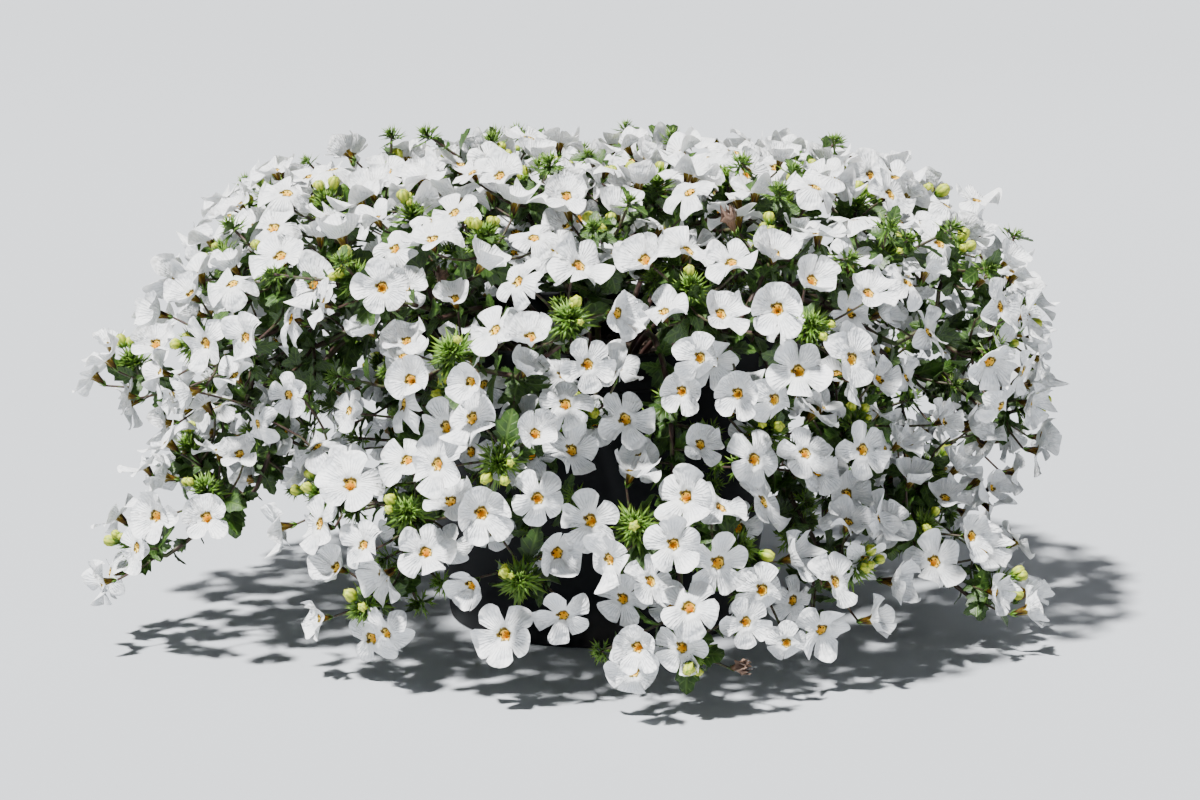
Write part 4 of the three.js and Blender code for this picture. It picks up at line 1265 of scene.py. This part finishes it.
def off_pot(place, room):
    """Whether a place is above the pot's rim or beside the pot, with some room"""
    return place.z > POT_HEIGHT + room or math.hypot(place.x, place.y) > POT_RADIUS + room


def in_gap(place):
    """Whether a place is in one of the low gaps between the sprays"""
    azimuth = math.degrees(math.atan2(place.y, place.x))
    return any(first < azimuth < last and place.z < top for first, last, top in LOW_GAPS)


def directions(count, lowest):
    """Even directions over a ball, from straight up down to a lowest slope"""
    for order in range(count):
        height = 1 - (1 - lowest) * (order + 0.5) / count
        flat = math.sqrt(1 - height * height)
        angle = order * GOLDEN_TURN
        yield Vector((flat * math.cos(angle), flat * math.sin(angle), height))


def fill_canopy(stems, draw):
    """Finds the places where the canopy is open and grows there, on a twig from the nearest line"""
    arms = np.array([bloom["centre"] - HEART for stem in stems for bloom in stem["blooms"]])
    lengths = np.linalg.norm(arms, axis=1)
    sources = [
        (place, stem) for stem in stems for line, _, _ in twig_lines(stem)
        for place in along_line(line, SOURCE_STEP) if off_pot(place, SOURCE_ROOM)
    ]
    source_places = np.array([place for place, _ in sources])
    ways = list(directions(FILL_DIRECTIONS, LOWEST_DIRECTION))
    for kind, depth, spacing, most, lowest, highest in FILL_LAYERS:
        draw.shuffle(ways)
        added = 0
        for way in ways:
            if not lowest < way.z < highest:
                continue
            near = np.argpartition(-(arms @ np.array(way) / lengths), NEAR_BLOOMS)[:NEAR_BLOOMS]
            arm = way * float(lengths[near].mean()) * depth * draw.uniform(*DEPTH_RANGE)
            centre = HEART + arm
            if added >= most or centre.z < LOWEST_BLOOM:
                continue
            if not off_pot(centre, FILL_ROOM[kind]) or in_gap(centre):
                continue
            if np.linalg.norm(arms - np.array(arm), axis=1).min() < spacing:
                continue
            apart = np.linalg.norm(source_places - np.array(centre - way * TWIG_DEPTH), axis=1)
            if apart.min() > LONGEST_TWIG:
                continue
            source, stem = sources[int(apart.argmin())]
            lean = Vector([draw.uniform(-1, 1) for _ in range(3)])
            facing = (way + UP * FILL_RISE + lean * FILL_LEAN).normalized()
            stem[kind].append({
                "centre": centre, "facing": facing, "across": facing.orthogonal(),
                "size": draw.uniform(*FILL_SIZE_RANGE), "root": source, "shoot": None,
            })
            arms = np.vstack((arms, arm))
            lengths = np.append(lengths, arm.length)
            added += 1


def turn_to(facing, across):
    """The turn that takes +Z to facing and +X to across"""
    across = (across - facing * across.dot(facing)).normalized()
    return Matrix((across, facing.cross(across), facing)).transposed().to_quaternion()


def points_mesh(points):
    """A mesh of bare points with each one's turn, size and form"""
    mesh = bpy.data.meshes.new("points")
    mesh.from_pydata([tuple(place) for place, _, _, _ in points], [], [])
    values = (
        ("turn", "QUATERNION", [part for _, turn, _, _ in points for part in turn]),
        ("size", "FLOAT", [size for _, _, size, _ in points]),
        ("form", "INT", [form for _, _, _, form in points]),
    )
    for label, kind, numbers in values:
        mesh.attributes.new(label, kind, "POINT").data.foreach_set("value", numbers)
    return mesh


def lines_mesh(lines):
    """A mesh of lines, each given by its places and its thickness at both ends"""
    places = []
    edges = []
    thick = []
    for line, start, end in lines:
        edges += [(len(places) + order, len(places) + order + 1) for order in range(len(line) - 1)]
        places += [tuple(place) for place in line]
        thick += [start + (end - start) * order / (len(line) - 1) for order in range(len(line))]
    mesh = bpy.data.meshes.new("lines")
    mesh.from_pydata(places, edges, [])
    mesh.attributes.new("thickness", "FLOAT", "POINT").data.foreach_set("value", thick)
    return mesh


def linked(name, data):
    """A piece, a light or a camera in the scene"""
    piece = bpy.data.objects.new(name, data)
    bpy.context.scene.collection.objects.link(piece)
    return piece


def joined(name, meshes):
    """One piece from several meshes"""
    pieces = [linked(name, mesh) for mesh in meshes]
    with bpy.context.temp_override(active_object=pieces[0], selected_editable_objects=pieces):
        bpy.ops.object.join()
    return pieces[0]


def show(piece, node):
    """Puts a piece in the place of the frame's node"""
    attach(piece, "root")
    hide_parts(node)


# The shelves of small forms and their finishes

form_draw = random.Random(FORM_SEED)
corollas = [
    corolla(form_draw, **shape).mesh(f"corolla_{order}", TILE["corolla"] + order)
    for order, shape in enumerate((*OPEN_FORMS, WITHERED))
]
for mesh in corollas:
    fading = WITHERED_FADING if mesh is corollas[-1] else 0.0
    faded = mesh.attributes.new("faded", "FLOAT", "POINT")
    faded.data.foreach_set("value", [fading] * len(mesh.vertices))

corolla_shelf = shelf("corollas", corollas)
anther_shelf = shelf("anthers", [anthers(form_draw).mesh("anthers", TILE["calyx"])])
calyx_shelf = shelf("calyxes", [calyx().mesh("calyx", TILE["calyx"])])
leaf_shelf = shelf("leaves", [
    leaf(form_draw, long * LEAF_LENGTH, wide * LEAF_WIDTH).mesh(name, TILE["leaf"] + order)
    for order, (name, long, wide) in enumerate(LEAF_FORMS)
])
bract_shelf = shelf("bracts", [bract().mesh("bract", TILE["bract"])])
bud_shelf = shelf("buds", [
    bud(form_draw, wide * BUD_RADIUS, high * BUD_RADIUS).mesh(name, TILE["bud"])
    for name, wide, high in BUD_FORMS
])
stalk_shelf = shelf("bud_stalks", [bud_stalk().mesh("bud_stalk", TILE["calyx"])])

petal = petal_finish()
pollen = pollen_finish()
leafy = leaf_finish()
herb = bract_finish()
lime = bud_finish()
bark = bark_finish()

sowing = sowing_tree()
twigs = twig_tree()
leafing = leafy_tree()
rosette = rosette_tree()
rosette_shelf = shelf("rosettes", [
    rosette.grow(bpy.data.meshes.new("seed"), Forms=bract_shelf, Count=count, Seed=order, Finish=herb)
    for order, count in enumerate((*TUFT_BRACTS, TIP_BRACTS))
])

# The plant


def bloom_stalk(bloom, facing):
    """The line of a bloom's stalk, from its twig to the funnel's foot"""
    end = bloom["centre"] - facing * TUBE_LENGTH * bloom["size"]
    root = bloom["root"]
    shoot = bloom["shoot"]
    if shoot:
        root = shoot["low"] + shoot["way"] * (root - shoot["low"]).dot(shoot["way"])
    length = (end - root).length
    bend = root.lerp(end, 0.55) + UP * 0.04 * length - facing * 0.16 * length
    return [root, bend, end]


def buds_on(shoot, draw):
    """Some buds round the end of a shoot"""
    way = shoot["way"]
    across = way.orthogonal().normalized()
    for _ in range(draw.choice(BUD_COUNTS)):
        angle = draw.uniform(0, TURN)
        out = across * math.cos(angle) + way.cross(across) * math.sin(angle)
        lean = (way + out * draw.uniform(*BUD_LEAN_RANGE)).normalized()
        place = shoot["heart"] + lean * draw.uniform(*BUD_REACH_RANGE)
        yield place, turn_to(lean, lean.orthogonal()), draw.uniform(*BUD_SIZE_RANGE), draw.choice(BUD_PICKS)


def plant_stem(order, name, stem):
    """One flowering stem as one piece; its lines carry twigs, and its bare lines small leaves as well"""
    draw = random.Random(STEM_SEED + order)
    blooms = []
    leaves = []
    tufts = []
    buds = []
    lines = twig_lines(stem)
    bare = [line for line, _, _ in lines]
    for bloom in stem["blooms"]:
        lean = Vector([draw.uniform(-1, 1) for _ in range(3)])
        facing = (bloom["facing"] + lean * BLOOM_LEAN).normalized()
        form = draw.choices(range(len(corollas)), FORM_WEIGHTS)[0]
        size = bloom["size"] * draw.uniform(*BLOOM_SIZE_RANGE)
        blooms.append((bloom["centre"], turn_to(facing, bloom["across"]), size, form))
        stalk = bloom_stalk(bloom, facing)
        lines.append((stalk, *STALK_THICKNESS))
        if (stalk[-1] - stalk[0]).length > LEAFY_STALK:
            bare.append(stalk[:-1])
    for large in stem["leaves"]:
        leaves.append((large["foot"], turn_to(large["top"], large["tip"] - large["foot"]), 1.0, 0))
        lines.append(([large["root"], large["foot"]], *LEAF_STALK_THICKNESS))
    for shoot in stem["shoots"]:
        way = shoot["way"]
        turn = turn_to(way, way.orthogonal().normalized())
        size = draw.uniform(*TUFT_SIZE_RANGE)
        pick = draw.randrange(len(TUFT_BRACTS))
        tufts.append((shoot["heart"] + way * TUFT_LIFT, turn, size, pick))
        buds += buds_on(shoot, draw)
    for tip in stem["tips"]:
        way = tip["facing"]
        bend = tip["root"].lerp(tip["centre"], 0.5) - way * TIP_SAG
        line = [tip["root"], bend, tip["centre"]]
        lines.append((line, *TIP_THICKNESS))
        bare.append(line)
        size = draw.uniform(*TIP_SIZE_RANGE)
        tufts.append((tip["centre"], turn_to(way, tip["across"]), size, len(TUFT_BRACTS)))
    leafy_lines = []
    for line in bare:
        kept = [place for place in along_line(line, LEAFY_STEP) if off_pot(place, LEAFY_ROOM)]
        if len(kept) > 1:
            leafy_lines.append((kept, MM, MM))
    corner = (*tile_corner(TILE["bark"]), 0)
    meshes = [
        twigs.grow(lines_mesh(lines), Tile_corner=corner, Tile_size=TILE_SIZE, Finish=bark),
        sowing.grow(points_mesh(blooms), Forms=corolla_shelf, Size_spread=0.0, Finish=petal),
        sowing.grow(points_mesh(blooms), Forms=anther_shelf, Size_spread=0.0, Finish=pollen),
        sowing.grow(points_mesh(blooms), Forms=calyx_shelf, Size_spread=0.0, Finish=herb),
        sowing.grow(points_mesh(leaves), Forms=leaf_shelf, Seed=order, Finish=leafy),
        sowing.grow(points_mesh(tufts), Forms=rosette_shelf, Seed=order, Finish=herb),
        sowing.grow(points_mesh(buds), Forms=bud_shelf, Size_spread=0.0, Finish=lime),
        sowing.grow(points_mesh(buds), Forms=stalk_shelf, Size_spread=0.0, Finish=herb),
        leafing.grow(lines_mesh(leafy_lines), Forms=leaf_shelf, Seed=order, Finish=leafy),
    ]
    show(joined(f"flowering_{name}", meshes), name)


stem_names = sorted(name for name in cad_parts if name.startswith("stem_"))
stems = [read_stem(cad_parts[name]) for name in stem_names]
fill_canopy(stems, random.Random(FILL_SEED))
for order, (name, stem) in enumerate(zip(stem_names, stems)):
    plant_stem(order, name, stem)

# The pot and its compost


def lathed(name, profile, sides):
    """A closed turned mesh from a profile of radii and heights that starts and ends on the axis"""
    form = Form()
    rows = []
    for radius, height in profile:
        if radius == 0:
            row = [form.point((0, 0, height), None)] * sides
        else:
            row = [form.point(place, None) for place in ring(radius, height, sides)]
        rows.append(row + row[:1])
    for low, high in zip(rows, rows[1:]):
        form.strip(low, high)
    return form.plain_mesh(name)


def pot_radius(height):
    """The outside of the pot's wall below its rim band"""
    return POT_BASE_RADIUS + (POT_RADIUS - RIM_PROUD - POT_BASE_RADIUS) * height / POT_HEIGHT


def pot_profile():
    """Up the outside of the pot, over its rim and down the inside"""
    edge = POT_EDGE
    soft = 0.3 * edge
    halfway = POT_HEIGHT / 2
    rim_low = POT_HEIGHT - RIM_HEIGHT
    mouth = pot_radius(POT_HEIGHT) - POT_WALL
    inner_foot = pot_radius(POT_FLOOR) - POT_WALL
    return [
        (0, POT_HOLLOW),
        (FOOT_RADIUS, POT_HOLLOW),
        (FOOT_RADIUS + POT_HOLLOW, 0),
        (POT_BASE_RADIUS - edge, 0),
        (POT_BASE_RADIUS - soft, soft),
        (pot_radius(edge), edge),
        (pot_radius(halfway), halfway),
        (pot_radius(rim_low - edge), rim_low - edge),
        (POT_RADIUS - edge, rim_low),
        (POT_RADIUS - soft, rim_low + soft),
        (POT_RADIUS, rim_low + edge),
        (POT_RADIUS, POT_HEIGHT - edge),
        (POT_RADIUS - soft, POT_HEIGHT - soft),
        (POT_RADIUS - edge, POT_HEIGHT),
        (mouth + 0.5 * edge, POT_HEIGHT),
        (mouth, POT_HEIGHT - 0.5 * edge),
        (pot_radius(halfway) - POT_WALL, halfway),
        (inner_foot, POT_FLOOR + edge),
        (inner_foot - edge, POT_FLOOR),
        (0, POT_FLOOR),
    ]


def drill(angle):
    """A bar through the floor of the pot for one drain hole"""
    low, high = -POT_FLOOR, 3 * POT_FLOOR
    profile = [(0, low), (DRAIN_RADIUS, low), (DRAIN_RADIUS, high), (0, high)]
    mesh = lathed("drill", profile, DRAIN_SIDES)
    place = (DRAIN_CIRCLE * math.cos(angle), DRAIN_CIRCLE * math.sin(angle), 0)
    mesh.transform(Matrix.Translation(place))
    return mesh


def nursery_pot():
    """The turned pot with its drain holes cut out"""
    body = linked("pot body", lathed("pot body", pot_profile(), POT_SIDES))
    angles = [TURN * (hole + 0.5) / DRAIN_HOLES for hole in range(DRAIN_HOLES)]
    drills = joined("drills", [drill(angle) for angle in angles])
    cut = body.modifiers.new("drain holes", "BOOLEAN")
    cut.operation = "DIFFERENCE"
    cut.solver = "EXACT"
    cut.object = drills
    graph = bpy.context.evaluated_depsgraph_get()
    mesh = bpy.data.meshes.new_from_object(body.evaluated_get(graph))
    for piece in (body, drills):
        bpy.data.objects.remove(piece)
    mesh.shade_smooth()
    mesh.set_sharp_from_angle(angle=math.radians(35))
    mesh.materials.clear()
    mesh.materials.append(pot_finish())
    return mesh


def crumb(draw):
    """A lump of potting mix"""
    form = Form()
    foot = form.point((0, 0, -CRUMB_RADIUS), None)
    below = [foot] * 6
    for height in (-0.45, 0.45):
        row = []
        for place in ring(0.9 * CRUMB_RADIUS, height * CRUMB_RADIUS, 5):
            row.append(form.point(place * draw.uniform(*CRUMB_LUMP_RANGE), None))
        row.append(row[0])
        form.strip(below, row)
        below = row
    top = form.point((0, 0, CRUMB_RADIUS * draw.uniform(*CRUMB_TOP_RANGE)), None)
    form.strip(below, [top] * 6)
    return form.plain_mesh("crumb")


def crumb_tree():
    """Strews crumbs over a surface, each turned and sized its own way"""
    inputs = {
        "Forms": ("Collection", None),
        "Form count": ("Float", float(CRUMB_FORMS)),
        "Density": ("Float", 60000.0),
        "Smallest": ("Float", 0.5),
        "Largest": ("Float", 1.4),
        "Seed": ("Int", 5),
        "Finish": ("Material", None),
    }
    tree = Tree("crumbs", inputs)
    given = tree.given
    sockets = {"Mesh": given["Geometry"], "Density": given["Density"], "Seed": given["Seed"]}
    points = tree.node("GeometryNodeDistributePointsOnFaces", None, sockets)["Points"]
    turn = tree.turned(None, (0, 0, 1), tree.chance(0, TURN, given["Seed"] + 1))
    turn = tree.turned(turn, (1, 0, 0), tree.chance(0, TURN, given["Seed"] + 2))
    size = tree.chance(given["Smallest"], given["Largest"], given["Seed"] + 3)
    pick = tree.chance(0, given["Form count"], given["Seed"] + 4)
    tree.end(tree.set_forms(points, pick, turn, size))
    return tree


def compost():
    """The crowned potting mix with loose crumbs on top"""
    room = POT_WALL + SOIL_GAP
    edge = SOIL_TOP - SOIL_CROWN
    profile = [
        (0, POT_FLOOR + SOIL_GAP),
        (pot_radius(POT_FLOOR) - 2 * room, POT_FLOOR + SOIL_GAP),
        (pot_radius(edge) - room, edge - SOIL_CROWN),
        (0.96 * (pot_radius(edge) - room), edge),
        (0.6 * pot_radius(edge), SOIL_TOP - 0.5 * SOIL_CROWN),
        (0, SOIL_TOP),
    ]
    finish = compost_finish()
    body = lathed("compost", profile, POT_SIDES // 2)
    body.shade_smooth()
    body.materials.append(finish)
    draw = random.Random(CRUMB_SEED)
    crumbs = shelf("crumbs", [crumb(draw) for _ in range(CRUMB_FORMS)])
    top = lathed("compost top", [(0, SOIL_TOP), (0.9 * pot_radius(edge), edge)], 24)
    return [body, crumb_tree().grow(top, Forms=crumbs, Finish=finish)]


show(linked("nursery_pot", nursery_pot()), "pot")
show(joined("compost", compost()), "soil")

# The floor, the light and the camera


def add_light(name, kind, power, colour, way):
    """A light that shines one way"""
    data = bpy.data.lights.new(name, kind)
    data.energy = power
    data.color = colour
    light = linked(name, data)
    light.rotation_euler = way.to_track_quat("-Z", "Y").to_euler()
    return light


sweep = []
for step in range(SWEEP_STEPS + 1):
    angle = SWEEP_ANGLE * (1 - step / SWEEP_STEPS)
    height = SWEEP_RADIUS * (1 - math.cos(angle))
    sweep.append((FLOOR_RADIUS + SWEEP_RADIUS * math.sin(angle), height))
floor = linked("floor", lathed("floor", [*sweep, (0, 0)], FLOOR_SIDES))
floor.data.shade_smooth()
floor_finish = Finish("pale floor").surface({"Base Color": FLOOR_COLOUR, "Roughness": 0.9})
floor.data.materials.append(floor_finish)
floor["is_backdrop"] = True

key = add_light("key", "SUN", SUN_POWER, SUN_COLOUR, SUN_WAY)
key.data.angle = SUN_WIDTH
for name, place, target, width, power, colour in LAMPS:
    lamp = add_light(name, "AREA", power, colour, Vector(target) - Vector(place))
    lamp.data.shape = "DISK"
    lamp.data.size = width
    lamp.location = place

world = bpy.data.worlds.new("studio")
world.use_nodes = True
sky = world.node_tree.nodes["Background"]
sky.inputs["Color"].default_value = SKY_COLOUR
sky.inputs["Strength"].default_value = SKY_POWER
bpy.context.scene.world = world

camera_data = bpy.data.cameras.new("camera")
camera_data.sensor_width = SENSOR_WIDTH
camera_data.lens = SENSOR_WIDTH * FOCAL_PIXELS / PICTURE_WIDTH
camera = linked("camera", camera_data)
camera.location = CAMERA_PLACE
camera.rotation_euler = (TURN / 4 - CAMERA_DIP, 0, 0)
bpy.context.scene.camera = camera

size_boxes = {"cad": cad_box, "visual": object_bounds()}
{name: [list(corner) for corner in box] for name, box in size_boxes.items()}
